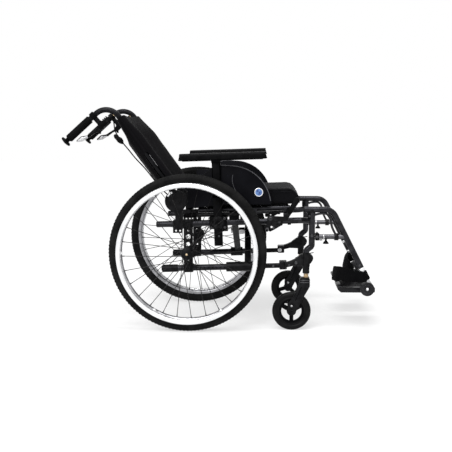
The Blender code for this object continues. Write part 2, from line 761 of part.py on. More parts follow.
def make_castors():
    stem = Vector((CASTOR_STEM_X, POST_Y, 0))
    housing_profile = [
        (0, HOUSING_TOP),
        (HOUSING_UPPER_RADIUS, HOUSING_TOP),
        (HOUSING_UPPER_RADIUS, HOUSING_STEP),
        (HOUSING_RADIUS, HOUSING_STEP - 0.001),
        (HOUSING_RADIUS, HOUSING_BOTTOM),
        (0, HOUSING_BOTTOM),
    ]
    housing = turned(housing_profile, stem, (0, 0, 1), 12)
    bore = (STEM_RADIUS + RUN) / math.cos(math.pi / 10) ** 2
    housing_bore = rod(stem + Vector((0, 0, HOUSING_BOTTOM - 0.01)), stem + Vector((0, 0, 0.276)), bore)
    arm = rod(
        on_slope(LOWER_TUBE_FRONT - CASTOR_ARM_INSERTED, TUBE_Y, LOWER_TUBE_LEVEL),
        on_slope(0.360, TUBE_Y, LOWER_TUBE_LEVEL),
        CASTOR_ARM_RADIUS,
    )
    clamp = seat_box(
        (0.354, TUBE_Y - 0.0145, LOWER_TUBE_LEVEL - 0.011),
        (0.383, POST_Y - 0.004, LOWER_TUBE_LEVEL + 0.020),
        0.002,
    )
    gusset_outline = [
        (0.376, 0.2450),
        (0.408, 0.2530),
        (0.441, 0.2520),
        (0.466, 0.2570),
        (0.480, 0.2700),
        (0.4845, 0.2820),
        (0.481, 0.2920),
        (0.470, HOUSING_TOP - 0.001),
        (0.456, HOUSING_TOP - 0.001),
        (0.439, 0.2980),
        (0.413, 0.2786),
        (0.376, 0.2645),
    ]
    gusset = plate(gusset_outline, POST_Y - 0.018, POST_Y + 0.008)
    cross_bolt = rod((0.363, TUBE_Y - 0.0190, 0.2500), (0.363, TUBE_Y - 0.0135, 0.2500), 0.0113, 8)
    add_pair("castor_arm", fuse([arm, clamp, gusset, housing, cross_bolt], [housing_bore]), "frame", "black_metal")

    axle_x = CASTOR_STEM_X - CASTOR_TRAIL
    leg_outline = [
        (0.4335, FORK_TOP - 0.003),
        (0.4304, FORK_SHOULDER),
        (0.4218, 0.1627),
        (0.4025, 0.1259),
        (0.3893, 0.1089),
        (0.3866, 0.0976),
        *arc(axle_x, CASTOR_RADIUS, 0.0145, 180, 340, 5),
        (0.4218, 0.0806),
        (0.4443, 0.1259),
        (0.4714, 0.1740),
        (0.4714, FORK_TOP - 0.003),
    ]
    inner = CASTOR_WIDTH / 2 + 0.0035
    outer = inner + FORK_PLATE
    legs = [plate(leg_outline, POST_Y + start, POST_Y + start + FORK_PLATE) for start in (inner, -outer)]
    crown = box((0.4345, POST_Y - outer + RUN, FORK_SHOULDER), (0.4704, POST_Y + outer - RUN, FORK_TOP))
    stem_profile = [
        (0, 0.272),
        (STEM_RADIUS, 0.272),
        (STEM_RADIUS, HOUSING_BOTTOM - 0.003),
        (0.0095, HOUSING_BOTTOM - 0.003),
        (0.0095, FORK_TOP - 0.003),
        (0, FORK_TOP - 0.003),
    ]
    axle_end = side * (outer + 0.002)
    axle_middle = Vector((axle_x, POST_Y, CASTOR_RADIUS))
    pin = rod(axle_middle - axle_end, axle_middle + axle_end, 0.004, 8)
    mesh = fuse([crown, *legs, turned(stem_profile, stem, (0, 0, 1), 10), pin])
    add_pair("castor_fork", mesh, "swivel", "black_metal")

    half = CASTOR_WIDTH / 2
    tyre_profile = [
        (CASTOR_RADIUS, 0.5 * half),
        (CASTOR_RADIUS - 0.008, half),
        (CASTOR_CORE_RADIUS, 0.85 * half),
        (CASTOR_CORE_RADIUS, -0.85 * half),
        (CASTOR_RADIUS - 0.008, -half),
        (CASTOR_RADIUS, -0.5 * half),
    ]
    hub_radius = 0.019
    spoke_half = CASTOR_SPOKE_WIDTH / 2
    outer_half = 60 - math.degrees(math.asin(spoke_half / CASTOR_WINDOW_RADIUS))
    inner_half = 60 - math.degrees(math.asin(spoke_half / hub_radius))
    for name, sign, first_window in (("left", 1, 18), ("right", -1, 90)):
        centre = Vector((axle_x, sign * POST_Y, CASTOR_RADIUS))
        tyre = turned(tyre_profile, centre, side, CASTOR_STEPS, closed=True)
        windows = []
        for number in range(3):
            middle = first_window + 120 * number
            outer_edge = arc(axle_x, CASTOR_RADIUS, CASTOR_WINDOW_RADIUS, middle - outer_half, middle + outer_half, 4)
            inner_edge = arc(axle_x, CASTOR_RADIUS, hub_radius, middle + inner_half, middle - inner_half, 2)
            windows.append(outer_edge + inner_edge)
        rim_outline = circle(axle_x, CASTOR_RADIUS, CASTOR_CORE_RADIUS + 0.002, CASTOR_STEPS)
        disc = plate(rim_outline, sign * POST_Y - 0.008, sign * POST_Y + 0.008, windows)
        hub = rod(centre - side * (half + 0.003), centre + side * (half + 0.003), 0.013)
        bore = rod(centre - side * 0.03, centre + side * 0.03, 0.0046)
        add_piece("castor_wheel_" + name, fuse([tyre, disc, hub], [bore]), "castor_" + name, "tyre_rubber")


def make_cross_brace():
    """Each arm hinges on one lower tube and carries the seat rail of the other side."""
    sleeve_spans = {"left": (BRACE_LEFT_X - 0.032, BRACE_LEFT_X + 0.020), "right": (0.146, 0.284)}
    for name, sign, along in (("left", 1, BRACE_LEFT_X), ("right", -1, BRACE_RIGHT_X)):
        foot = brace_point(along, sign * TUBE_Y, LOWER_TUBE_LEVEL)
        top = brace_point(along, -sign * RAIL_Y, RAIL_LEVEL)
        rise = (top - foot).normalized()
        square = along_seat.cross(rise)
        bm = bmesh.new()
        bmesh.ops.create_cube(bm, size=1)
        turn = Matrix((along_seat, rise, square)).transposed().to_4x4()
        size = Matrix.Diagonal((BRACE_ARM_WIDTH, (top - foot).length, BRACE_ARM_THICKNESS, 1))
        bmesh.ops.transform(bm, matrix=Matrix.Translation((foot + top) / 2) @ turn @ size, verts=bm.verts)
        bmesh.ops.bevel(bm, geom=bm.edges, offset=0.002, segments=1, affect="EDGES")
        arm = helper(bm)
        start, end = sleeve_spans[name]
        sleeve = rod(
            on_slope(start, sign * TUBE_Y, LOWER_TUBE_LEVEL),
            on_slope(end, sign * TUBE_Y, LOWER_TUBE_LEVEL),
            BRACE_SLEEVE_RADIUS,
            12,
        )
        rail = rod(
            on_slope(RAIL_REAR, -sign * RAIL_Y, RAIL_LEVEL),
            on_slope(RAIL_FRONT, -sign * RAIL_Y, RAIL_LEVEL),
            RAIL_RADIUS,
        )
        tube_bore = rod(
            on_slope(start - 0.01, sign * TUBE_Y, LOWER_TUBE_LEVEL),
            on_slope(end + 0.01, sign * TUBE_Y, LOWER_TUBE_LEVEL),
            TUBE_RADIUS + 0.0008,
            12,
        )
        bolt_bore = rod(brace_centre(along - 0.03), brace_centre(along + 0.03), BRACE_BOLT_RADIUS + 0.0007, 12)
        add_piece("cross_arm_" + name, fuse([arm, sleeve, rail], [tube_bore, bolt_bore]), "brace_" + name, "black_metal")

    half = BRACE_ARM_WIDTH / 2
    start = brace_centre(0)
    rear = BRACE_LEFT_X - half - RUN
    front = BRACE_RIGHT_X + half + RUN
    spacer_rear = BRACE_LEFT_X + half + RUN
    spacer_front = BRACE_RIGHT_X - half - RUN
    bolt_profile = [
        (0, front + 0.006),
        (0.011, front + 0.006),
        (0.011, front),
        (BRACE_BOLT_RADIUS, front),
        (BRACE_BOLT_RADIUS, spacer_front),
        (0.012, spacer_front),
        (0.012, spacer_rear),
        (BRACE_BOLT_RADIUS, spacer_rear),
        (BRACE_BOLT_RADIUS, rear),
        (0.011, rear),
        (0.011, rear - 0.006),
        (0, rear - 0.006),
    ]
    add_piece("cross_bolt", fuse([turned(bolt_profile, start, along_seat, 10)]), "brace_right", "steel")


def make_recline_brackets():
    """The fixed half of the back's hinge, clamped on the upper tube."""
    inner = TUBE_Y + TUBE_RADIUS + RUN + GAP
    outer = inner + HINGE_PLATE_THICKNESS
    front = AXLE_PLATE_REAR - 0.001
    rear = -0.062
    foot_top = on_slope(rear, 0, UPPER_TUBE_LEVEL).z + 0.014
    outline = [
        (front, foot_top - 0.032),
        (front, PIVOT_Z - 0.036),
        *arc(PIVOT_X, PIVOT_Z, HINGE_PLATE_RADIUS, -45, 250, 14),
        (-0.053, PIVOT_Z - 0.048),
        (-0.053, foot_top),
        (rear, foot_top),
        (rear, foot_top - 0.048),
        (front - 0.003, foot_top - 0.048),
        (front - 0.003, foot_top - 0.032),
    ]
    holes = [circle(spot, foot_top - 0.039, 0.004, 8) for spot in (-0.050, -0.034)]
    sheet = plate(outline, inner, outer, holes)
    block, bore = tube_clamp(rear, front, UPPER_TUBE_LEVEL, inner + 0.001)
    pivot = Vector((PIVOT_X, 0, PIVOT_Z))
    stud = rod(pivot + side * (CANE_Y + FOOT_PLATE_OFFSET + 0.0001), pivot + side * (inner + 0.001), 0.006, 12)
    head = rod(pivot + side * (outer - 0.001), pivot + side * (outer + 0.004), 0.010, 6)
    add_pair("recline_bracket", fuse([sheet, block, stud, head], [bore]), "frame", "black_metal")


def make_back_canes():
    corners = [(CANE_FOOT[0], CANE_Y, CANE_FOOT[1]), (CANE_CORNER[0], CANE_Y, CANE_CORNER[1])]
    corners.append((CANE_END[0], CANE_Y, CANE_END[1]))
    tube = pipe(bent_path(corners, CANE_BEND_RADIUS, 5), CANE_RADIUS)
    plate_outer = TUBE_Y + TUBE_RADIUS + RUN + GAP - 0.0006
    plate_inner = CANE_Y + FOOT_PLATE_OFFSET
    pin_x, pin_z = lobe_pin()
    outline = link_outline((PIVOT_X, PIVOT_Z), FOOT_PLATE_RADIUS, (pin_x, pin_z), 0.010)
    foot = plate(outline, plate_inner, plate_outer)
    bore = rod((PIVOT_X, CANE_Y, PIVOT_Z), (PIVOT_X, plate_outer + 0.01, PIVOT_Z), 0.0067, 12)
    pin = rod((pin_x, GAS_Y - 0.004, pin_z), (pin_x, plate_inner + 0.001, pin_z), 0.003, 8)
    add_pair("back_cane", fuse([tube, foot, pin], [bore]), "back", "frame_paint")


def make_handles():
    start_x, start_z = handle_point(GRIP_START)
    start = Vector((start_x, CANE_Y, start_z))
    end_x, end_z = handle_point(GRIP_START + GRIP_LENGTH)
    direction = (Vector((end_x, CANE_Y, end_z)) - start).normalized()
    bore = CANE_RADIUS + RUN
    end_cap = GRIP_LENGTH + 0.021
    inside = math.dist(CANE_END, CANE_CORNER) - GRIP_START + 0.001
    grip_profile = [
        (0, inside),
        (bore, inside),
        (bore, 0),
        (GRIP_RADIUS - 0.001, 0),
        (GRIP_RADIUS, 0.002),
        (GRIP_RADIUS, GRIP_LENGTH - 0.002),
        (GRIP_RADIUS - 0.002, GRIP_LENGTH),
        (0.010, GRIP_LENGTH + 0.003),
        (0.009, GRIP_LENGTH + 0.010),
        (GRIP_FLANGE_RADIUS, GRIP_LENGTH + 0.013),
        (GRIP_FLANGE_RADIUS, end_cap - 0.003),
        (0.012, end_cap),
        (0, end_cap),
    ]
    add_pair("grip", fuse([turned(grip_profile, start, direction, 10)]), "back", "soft_plastic")

    at_x, at_z = handle_point(HANDLE_COLLAR_AT)
    length = HANDLE_COLLAR_LENGTH
    collar_start = Vector((at_x, CANE_Y, at_z))
    collar_profile = [(bore, 0), (0.0165, 0), (0.0165, length), (bore, length)]
    collar = turned(collar_profile, collar_start, direction, 10, closed=True)
    neck_start = HANDLE_COLLAR_AT + 0.0005
    neck_end = HANDLE_COLLAR_AT + length - 0.0005
    body_top = LEVER_PIVOT_OFFSET - 0.0105
    body_bottom = LEVER_PIVOT_OFFSET + 0.0085
    body_front = LEVER_PIVOT_AT - 0.060
    web_end = LEVER_PIVOT_AT - 0.0075
    cheek_outline = [
        handle_point(neck_end, 0.0135),
        handle_point(neck_end, body_top - 0.003),
        handle_point(LEVER_PIVOT_AT + 0.009, body_top + 0.002),
        handle_point(LEVER_PIVOT_AT + 0.008, body_bottom),
        handle_point(body_front, body_bottom - 0.003),
        handle_point(body_front, body_top - 0.001),
        handle_point(neck_start, body_top - 0.003),
        handle_point(neck_start, 0.0135),
    ]
    web_outline = [
        handle_point(neck_end - 0.001, 0.0140),
        handle_point(web_end - 0.001, body_top - 0.001),
        handle_point(web_end, body_bottom - 0.001),
        handle_point(body_front + 0.001, body_bottom - 0.004),
        handle_point(body_front + 0.001, body_top),
        handle_point(neck_start + 0.001, body_top - 0.002),
        handle_point(neck_start + 0.001, 0.0140),
    ]
    cheeks = [plate(cheek_outline, CANE_Y + start, CANE_Y + start + 0.004) for start in (0.0062, -0.0102)]
    web = plate(web_outline, CANE_Y - 0.0072, CANE_Y + 0.0072)
    pivot_x, pivot_z = handle_point(LEVER_PIVOT_AT, LEVER_PIVOT_OFFSET)
    pin = rod((pivot_x, CANE_Y - 0.0085, pivot_z), (pivot_x, CANE_Y + 0.0085, pivot_z), 0.003, 6)
    add_pair("lever_housing", fuse([collar, *cheeks, web, pin]), "back", "black_plastic")

    lever_outline = [
        handle_point(LEVER_PIVOT_AT - 0.0058, LEVER_PIVOT_OFFSET + 0.003),
        handle_point(LEVER_PIVOT_AT - 0.0058, LEVER_PIVOT_OFFSET - 0.003),
        handle_point(LEVER_PIVOT_AT, LEVER_PIVOT_OFFSET - 0.0065),
        handle_point(LEVER_PIVOT_AT + 0.050, LEVER_PIVOT_OFFSET - 0.0110),
        handle_point(LEVER_PIVOT_AT + 0.088, LEVER_PIVOT_OFFSET - 0.0280),
        handle_point(LEVER_PIVOT_AT + 0.092, LEVER_PIVOT_OFFSET - 0.0235),
        handle_point(LEVER_PIVOT_AT + 0.053, LEVER_PIVOT_OFFSET - 0.0020),
        handle_point(LEVER_PIVOT_AT + 0.004, LEVER_PIVOT_OFFSET + 0.0065),
    ]
    lever = plate(lever_outline, CANE_Y - 0.0056, CANE_Y + 0.0056)
    lever_bore = rod((pivot_x, CANE_Y - 0.02, pivot_z), (pivot_x, CANE_Y + 0.02, pivot_z), 0.0036, 6)
    add_pair("handle_lever", fuse([lever], [lever_bore]), "lever", "steel")


def make_gas_springs():
    rear = Vector((GAS_CYLINDER_REAR, GAS_Y, gas_level(GAS_CYLINDER_REAR)))
    length = GAS_CYLINDER_FRONT - GAS_CYLINDER_REAR
    bore = GAS_ROD_RADIUS + 0.0008
    profile = [
        (0, GAS_ROD_INSERTED + 0.010),
        (bore, GAS_ROD_INSERTED + 0.010),
        (bore, 0),
        (GAS_CYLINDER_RADIUS, 0),
        (GAS_CYLINDER_RADIUS, length - 0.004),
        (GAS_CYLINDER_RADIUS - 0.003, length),
        (0, length),
    ]
    cylinder = turned(profile, rear, along_seat, 10)
    add_pair("gas_spring", fuse([cylinder]), "frame", "black_metal")

    pin_x, _ = lobe_pin()
    eye = Vector((pin_x, GAS_Y, gas_level(pin_x)))
    rod_start = eye + along_seat * 0.0065
    rod_end = rear + along_seat * GAS_ROD_INSERTED
    shaft = rod(rod_start, rod_end, GAS_ROD_RADIUS)
    ring = rod(eye - side * 0.0033, eye + side * 0.0033, 0.0080, 14)
    hole = rod(eye - side * 0.02, eye + side * 0.02, 0.0046, 12)
    add_pair("gas_rod", fuse([shaft, ring], [hole]), "gas_rod", "steel")


# The release cable leaves the lever housing, loops behind the cane and runs down to the hinge
CABLE_ROUTE = (
    (-0.3055, 0.8200),
    (-0.2990, 0.8200),
    (-0.2935, 0.8130),
    (-0.2905, 0.7990),
    (-0.2885, 0.7800),
    (-0.2820, 0.7610),
    (-0.2710, 0.7430),
    (-0.2542, 0.7215),
    (-0.2315, 0.6945),
    (-0.2100, 0.6675),
    (-0.1705, 0.6250),
    (-0.1380, 0.5840),
    (-0.1075, 0.5480),
    (-0.0860, 0.5260),
    (-0.0680, 0.5170),
)


def smooth_route(points, spacing):
    """Points at an even spacing on a smooth curve through the route's own points."""
    samples = []
    count = len(points)
    for index in range(count - 1):
        before = points[max(index - 1, 0)]
        start = points[index]
        end = points[index + 1]
        after = points[min(index + 2, count - 1)]
        for step in range(12):
            share = step / 12
            samples.append(
                0.5
                * (
                    2 * start
                    + (end - before) * share
                    + (2 * before - 5 * start + 4 * end - after) * share**2
                    + (3 * start - before - 3 * end + after) * share**3
                )
            )
    samples.append(points[-1])
    route = [samples[0]]
    for sample in samples:
        if (sample - route[-1]).length >= spacing:
            route.append(sample)
    route[-1] = samples[-1]
    return route


def make_cables():
    cable_y = CANE_Y + FOOT_PLATE_OFFSET - GAP - CABLE_RADIUS
    points = [Vector((x, cable_y, z)) for x, z in CABLE_ROUTE]
    cable = pipe(smooth_route(points, 0.017), CABLE_RADIUS, 1)
    low = Vector((-0.2620, cable_y, 0.7310))
    high = Vector((-0.2825, cable_y, 0.7630))
    junction = rod(low, high, 0.0080, 8, 0.0060)
    add_pair("cable", fuse([junction, cable]), "back", "soft_plastic")


def make_armrests():
    half_width = ARMREST_POST_WIDTH / 2
    half_thickness = ARMREST_POST_THICKNESS / 2
    start = on_slope(ARMREST_X, 0, UPPER_TUBE_LEVEL)
    place = Matrix.Translation(start) @ Matrix.Rotation(-SEAT_SLOPE, 4, "Y")

    def placed(low, high, bevel=0.0, segments=1):
        item = box(low, high, bevel, segments)
        item.data.transform(place)
        return item

    post = placed(
        (-half_width, ARMREST_POST_Y - half_thickness, -ARMREST_POST_BELOW),
        (half_width, ARMREST_POST_Y + half_thickness, ARMREST_POST_ABOVE),
        0.003,
    )
    reach = TUBE_RADIUS + RUN + CLAMP_WALL
    wrap = placed((-0.033, TUBE_Y - reach, -reach), (0.033, ARMREST_POST_Y, reach))
    socket = placed(
        (-0.034, TUBE_Y + TUBE_RADIUS + RUN + GAP, -0.022),
        (0.034, ARMREST_POST_Y + half_thickness + 0.003, 0.026),
    )
    middle = start + side * TUBE_Y
    tube_bore = rod(middle - along_seat * 0.05, middle + along_seat * 0.05, TUBE_RADIUS + RUN, 12)
    stem_bore = placed(
        (-0.0125, ARMREST_POST_Y - 0.0040, ARMREST_POST_ABOVE - ARMREST_STEM_LENGTH - 0.005),
        (0.0125, ARMREST_POST_Y + 0.0040, ARMREST_POST_ABOVE + 0.01),
    )
    add_pair("armrest_post", fuse([post, socket, wrap], [tube_bore, stem_bore]), "frame", "black_plastic")

    pad_bottom = ARMREST_POST_ABOVE + 0.0145
    pad = placed(
        (ARMREST_PAD_REAR, ARMREST_PAD_Y - ARMREST_PAD_WIDTH / 2, pad_bottom),
        (ARMREST_PAD_FRONT, ARMREST_PAD_Y + ARMREST_PAD_WIDTH / 2, pad_bottom + ARMREST_PAD_THICKNESS),
        0.005,
        2,
    )
    collar = placed(
        (-half_width - 0.002, ARMREST_POST_Y - half_thickness, ARMREST_POST_ABOVE + RUN),
        (half_width + 0.002, ARMREST_POST_Y + half_thickness + 0.002, pad_bottom + 0.004),
        0.002,
    )
    stem = placed(
        (-0.0120, ARMREST_POST_Y - 0.0035, ARMREST_POST_ABOVE - ARMREST_STEM_LENGTH),
        (0.0120, ARMREST_POST_Y + 0.0035, ARMREST_POST_ABOVE + 0.004),
    )
    add_pair("armrest_pad", fuse([pad, collar, stem]), "armrest", "soft_plastic")


def make_side_guards():
    front_arc = arc(0.165, 0.482, 0.158, 86, 8, 9)
    outline = [
        (-0.004, 0.474),
        (0.060, 0.478),
        (0.150, 0.487),
        (0.3165, 0.488),
        (0.3225, 0.497),
        *reversed(front_arc),
        (0.116, 0.6385),
        (0.0845, 0.627),
        (0.057, 0.604),
        (0.038, 0.600),
        (-0.004, 0.600),
    ]
    half = GUARD_THICKNESS / 2
    add_pair("side_guard", fuse([plate(outline, GUARD_Y - half, GUARD_Y + half)]), "frame", "black_plastic")


def make_footrests():
    corners = [(POST_X - 0.018, POST_Y, HANGER_LEVEL), (HANGER_CORNER_X, POST_Y, HANGER_LEVEL)]
    corners.append((HANGER_FOOT[0], POST_Y, HANGER_FOOT[1]))
    tube = pipe(bent_path(corners, HANGER_BEND_RADIUS, 3), HANGER_RADIUS, 2)
    direction = hanger_direction()
    foot = Vector((HANGER_FOOT[0], POST_Y, HANGER_FOOT[1]))
    tube_bore = rod(foot + direction * 0.02, foot - direction * (FOOT_TUBE_INSERTED + 0.006), FOOT_TUBE_RADIUS + RUN)
    pin = rod((POST_X, POST_Y, HANGER_LEVEL), (POST_X, POST_Y, POST_TOP - 0.036), 0.0080)
    strut_end = HANGER_CORNER_X + (HANGER_LEVEL - STRUT_LEVEL) * direction.x / -direction.z
    strut = rod((POST_X + 0.0125, POST_Y, STRUT_LEVEL), (strut_end, POST_Y, STRUT_LEVEL), 0.0095)
    collar = rod((0.563, POST_Y, STRUT_LEVEL), (0.580, POST_Y, STRUT_LEVEL), 0.0135)
    catch = box((POST_X + 0.0127, POST_Y - 0.011, STRUT_LEVEL - 0.014), (0.506, POST_Y + 0.011, STRUT_LEVEL + 0.014))
    knob = turned(
        [(0, 0), (0.0035, 0), (0.0035, -0.016), (0.010, -0.026), (0.010, -0.029), (0, -0.029)],
        (0.532, POST_Y, STRUT_LEVEL - 0.002),
        (0, 0, 1),
        8,
    )
    add_pair("hanger", fuse([tube, pin, strut, collar, catch, knob], [tube_bore]), "hanger", "frame_paint")

    tube_corners = [
        foot - direction * FOOT_TUBE_INSERTED,
        foot + direction * 0.064,
        Vector((FOOT_DISC_X, POST_Y, FOOT_DISC_Z)),
    ]
    lower_tube = pipe(bent_path(tube_corners, 0.022, 2), FOOT_TUBE_RADIUS, 2)
    disc_centre = Vector((FOOT_DISC_X, 0, FOOT_DISC_Z))
    disc = rod(disc_centre + side * 0.2335, disc_centre + side * 0.2565, FOOT_DISC_RADIUS, 14)
    carrier = box(
        (FOOT_DISC_X - 0.014, FOOT_PIN_Y - 0.007, FOOT_PIN_Z - 0.0085),
        (FOOT_DISC_X + 0.012, POST_Y - 0.0105, FOOT_PIN_Z + 0.0092),
    )
    pin = rod(
        (FOOT_DISC_X - 0.074, FOOT_PIN_Y, FOOT_PIN_Z),
        (FOOTPLATE_FRONT - 0.008, FOOT_PIN_Y, FOOT_PIN_Z),
        FOOT_PIN_RADIUS,
    )
    through = rod(disc_centre + side * 0.22, disc_centre + side * 0.27, 0.007)
    add_pair("footrest_tube", fuse([disc, lower_tube, carrier, pin], [through]), "footrest", "steel")

    section = [
        (FOOTPLATE_REAR + 0.012, FOOTPLATE_BOTTOM),
        (FOOTPLATE_FRONT - 0.005, FOOTPLATE_BOTTOM),
        (FOOTPLATE_FRONT, FOOTPLATE_BOTTOM + 0.004),
        (FOOTPLATE_FRONT, FOOTPLATE_TOP),
        (FOOTPLATE_REAR, FOOTPLATE_TOP),
        (FOOTPLATE_REAR, FOOTPLATE_BOTTOM + 0.011),
    ]
    board = plate(section, FOOTPLATE_INNER, FOOTPLATE_OUTER)
    notch = box(
        (FOOT_DISC_X - 0.016, FOOT_PIN_Y - 0.0135, FOOTPLATE_BOTTOM - 0.01),
        (FOOT_DISC_X + 0.014, FOOTPLATE_OUTER + 0.01, FOOTPLATE_TOP + 0.01),
    )
    pin_bore = rod(
        (FOOT_DISC_X - 0.080, FOOT_PIN_Y, FOOT_PIN_Z),
        (FOOTPLATE_FRONT - 0.004, FOOT_PIN_Y, FOOT_PIN_Z),
        FOOT_PIN_RADIUS + 0.0007,
    )
    add_pair("footplate", fuse([board], [notch, pin_bore]), "footplate", "plate_grey")
    make_heel_loops(foot, direction)


# The heel strap's course from the tube round the heel to the footplate's inner side: the share of
# its reach to the rear, then y, the level of its middle, half of its height and its forward lean
HEEL_ROUTE = (
    (0.00, 0.2568, 0.2165, 0.0165, -0.35),
    (0.30, 0.2520, 0.2140, 0.0175, -0.10),
    (0.72, 0.2300, 0.2100, 0.0210, 0.15),
    (1.00, 0.1640, 0.2080, 0.0240, 0.35),
    (0.96, 0.1120, 0.2050, 0.0240, 0.20),
    (0.62, 0.0720, 0.1930, 0.0230, 0.20),
    (0.30, 0.0580, 0.1815, 0.0236, 0.00),
)


def make_heel_loops(foot, direction):
    """A strap that is sleeved on the footrest tube. The two sides hang with a different reach in the photograph."""
    start, end = HEEL_SLEEVE_SPAN
    middle = foot + direction * (start + end) / 2
    for name, sign in (("left", 1), ("right", -1)):
        reach = HEEL_REAR[name] - middle.x
        rows = [Vector((middle.x + share * reach, y, z, half, lean / 20)) for share, y, z, half, lean in HEEL_ROUTE]
        route = smooth_route(rows, 0.022)
        sections = []
        for index, row in enumerate(route):
            heading = route[min(index + 1, len(route) - 1)] - route[max(index - 1, 0)]
            square = Vector((-heading[1], heading[0], 0)).normalized() * HEEL_STRAP_THICKNESS / 2
            centre = Vector(row[:3])
            up = Vector((row[4] * 20, 0, 1)) * row[3]
            sections.append([centre - square - up, centre + square - up, centre + square + up, centre - square + up])
        bm = bmesh.new()
        rings = [[bm.verts.new(point) for point in section] for section in sections]
        for ring, following in zip(rings, rings[1:]):
            for corner in range(4):
                after = (corner + 1) % 4
                bm.faces.new((ring[corner], ring[after], following[after], following[corner]))
        bm.faces.new(rings[0][::-1])
        bm.faces.new(rings[-1])
        strap = helper(bm)
        sleeve = rod(foot + direction * start, foot + direction * end, HEEL_SLEEVE_RADIUS, 12)
        bore = rod(foot + direction * (start - 0.02), foot + direction * (end + 0.02), FOOT_TUBE_RADIUS + 0.0010)
        mesh = fuse([sleeve, strap], [bore])
        if sign < 0:
            mesh.transform(Matrix.Diagonal((1, -1, 1, 1)))
            mesh.flip_normals()
        add_piece("heel_loop_" + name, mesh, "footplate_" + name, "seat_cloth")


def make_brakes():
    inner = TUBE_Y + TUBE_RADIUS + RUN + GAP
    plate_inner = inner + 0.0140
    plate_outer = plate_inner + 0.004
    block, bore = tube_clamp(BRAKE_REAR, BRAKE_FRONT, UPPER_TUBE_LEVEL, plate_inner + 0.001)
    outline = [
        (0.306, 0.412),
        (0.310, 0.389),
        (0.318, 0.384),
        (0.334, 0.392),
        (0.366, 0.412),
        (0.366, 0.4325),
        (0.336, 0.4370),
        (0.330, 0.4460),
        (0.310, 0.446),
        (0.306, 0.438),
    ]
    cheek = plate(outline, plate_inner, plate_outer)
    pivot = Vector((BRAKE_PIVOT[0], 0, BRAKE_PIVOT[1]))
    stud = rod(pivot + side * (plate_outer - 0.001), pivot + side * (plate_outer + 0.0068), 0.0045, 8)
    head = rod(pivot + side * (plate_outer + 0.0050 + RUN), pivot + side * (plate_outer + 0.0095), 0.008, 6)
    add_pair("brake_body", fuse([block, cheek, stud, head], [bore]), "frame", "black_metal")

    lever_inner = plate_outer + RUN
    lever_outer = lever_inner + 0.0042
    shoe_x = BRAKE_SHOE_DISTANCE * math.cos(BRAKE_SHOE_ANGLE)
    shoe_z = TYRE_RADIUS + BRAKE_SHOE_DISTANCE * math.sin(BRAKE_SHOE_ANGLE)
    shoe_arm = plate(link_outline(BRAKE_PIVOT, 0.010, (shoe_x, shoe_z), 0.008, 3), lever_inner, lever_outer)
    elbow = (0.376, 0.434)
    front_arm = plate(link_outline(BRAKE_PIVOT, 0.010, elbow, 0.009, 3), lever_inner, lever_outer)
    shank = plate(link_outline(elbow, 0.0088, BRAKE_HANDLE_TOP, 0.0085, 3), lever_inner, lever_outer)
    grip_start = (0.6 * elbow[0] + 0.4 * BRAKE_HANDLE_TOP[0], 0.6 * elbow[1] + 0.4 * BRAKE_HANDLE_TOP[1])
    grip_outline = link_outline(grip_start, 0.010, BRAKE_HANDLE_TOP, 0.011, 3)
    grip = plate(grip_outline, lever_inner - 0.0040, lever_outer + 0.0040)
    pin = rod((shoe_x, lever_inner + 0.001, shoe_z), (shoe_x, WHEEL_Y + 0.020, shoe_z), BRAKE_PIN_RADIUS, 8)
    lever_bore = rod(pivot + side * 0.2, pivot + side * 0.3, 0.0051)
    mesh = fuse([shoe_arm, front_arm, shank, grip, pin], [lever_bore])
    add_pair("brake_lever", mesh, "brake", "black_metal")


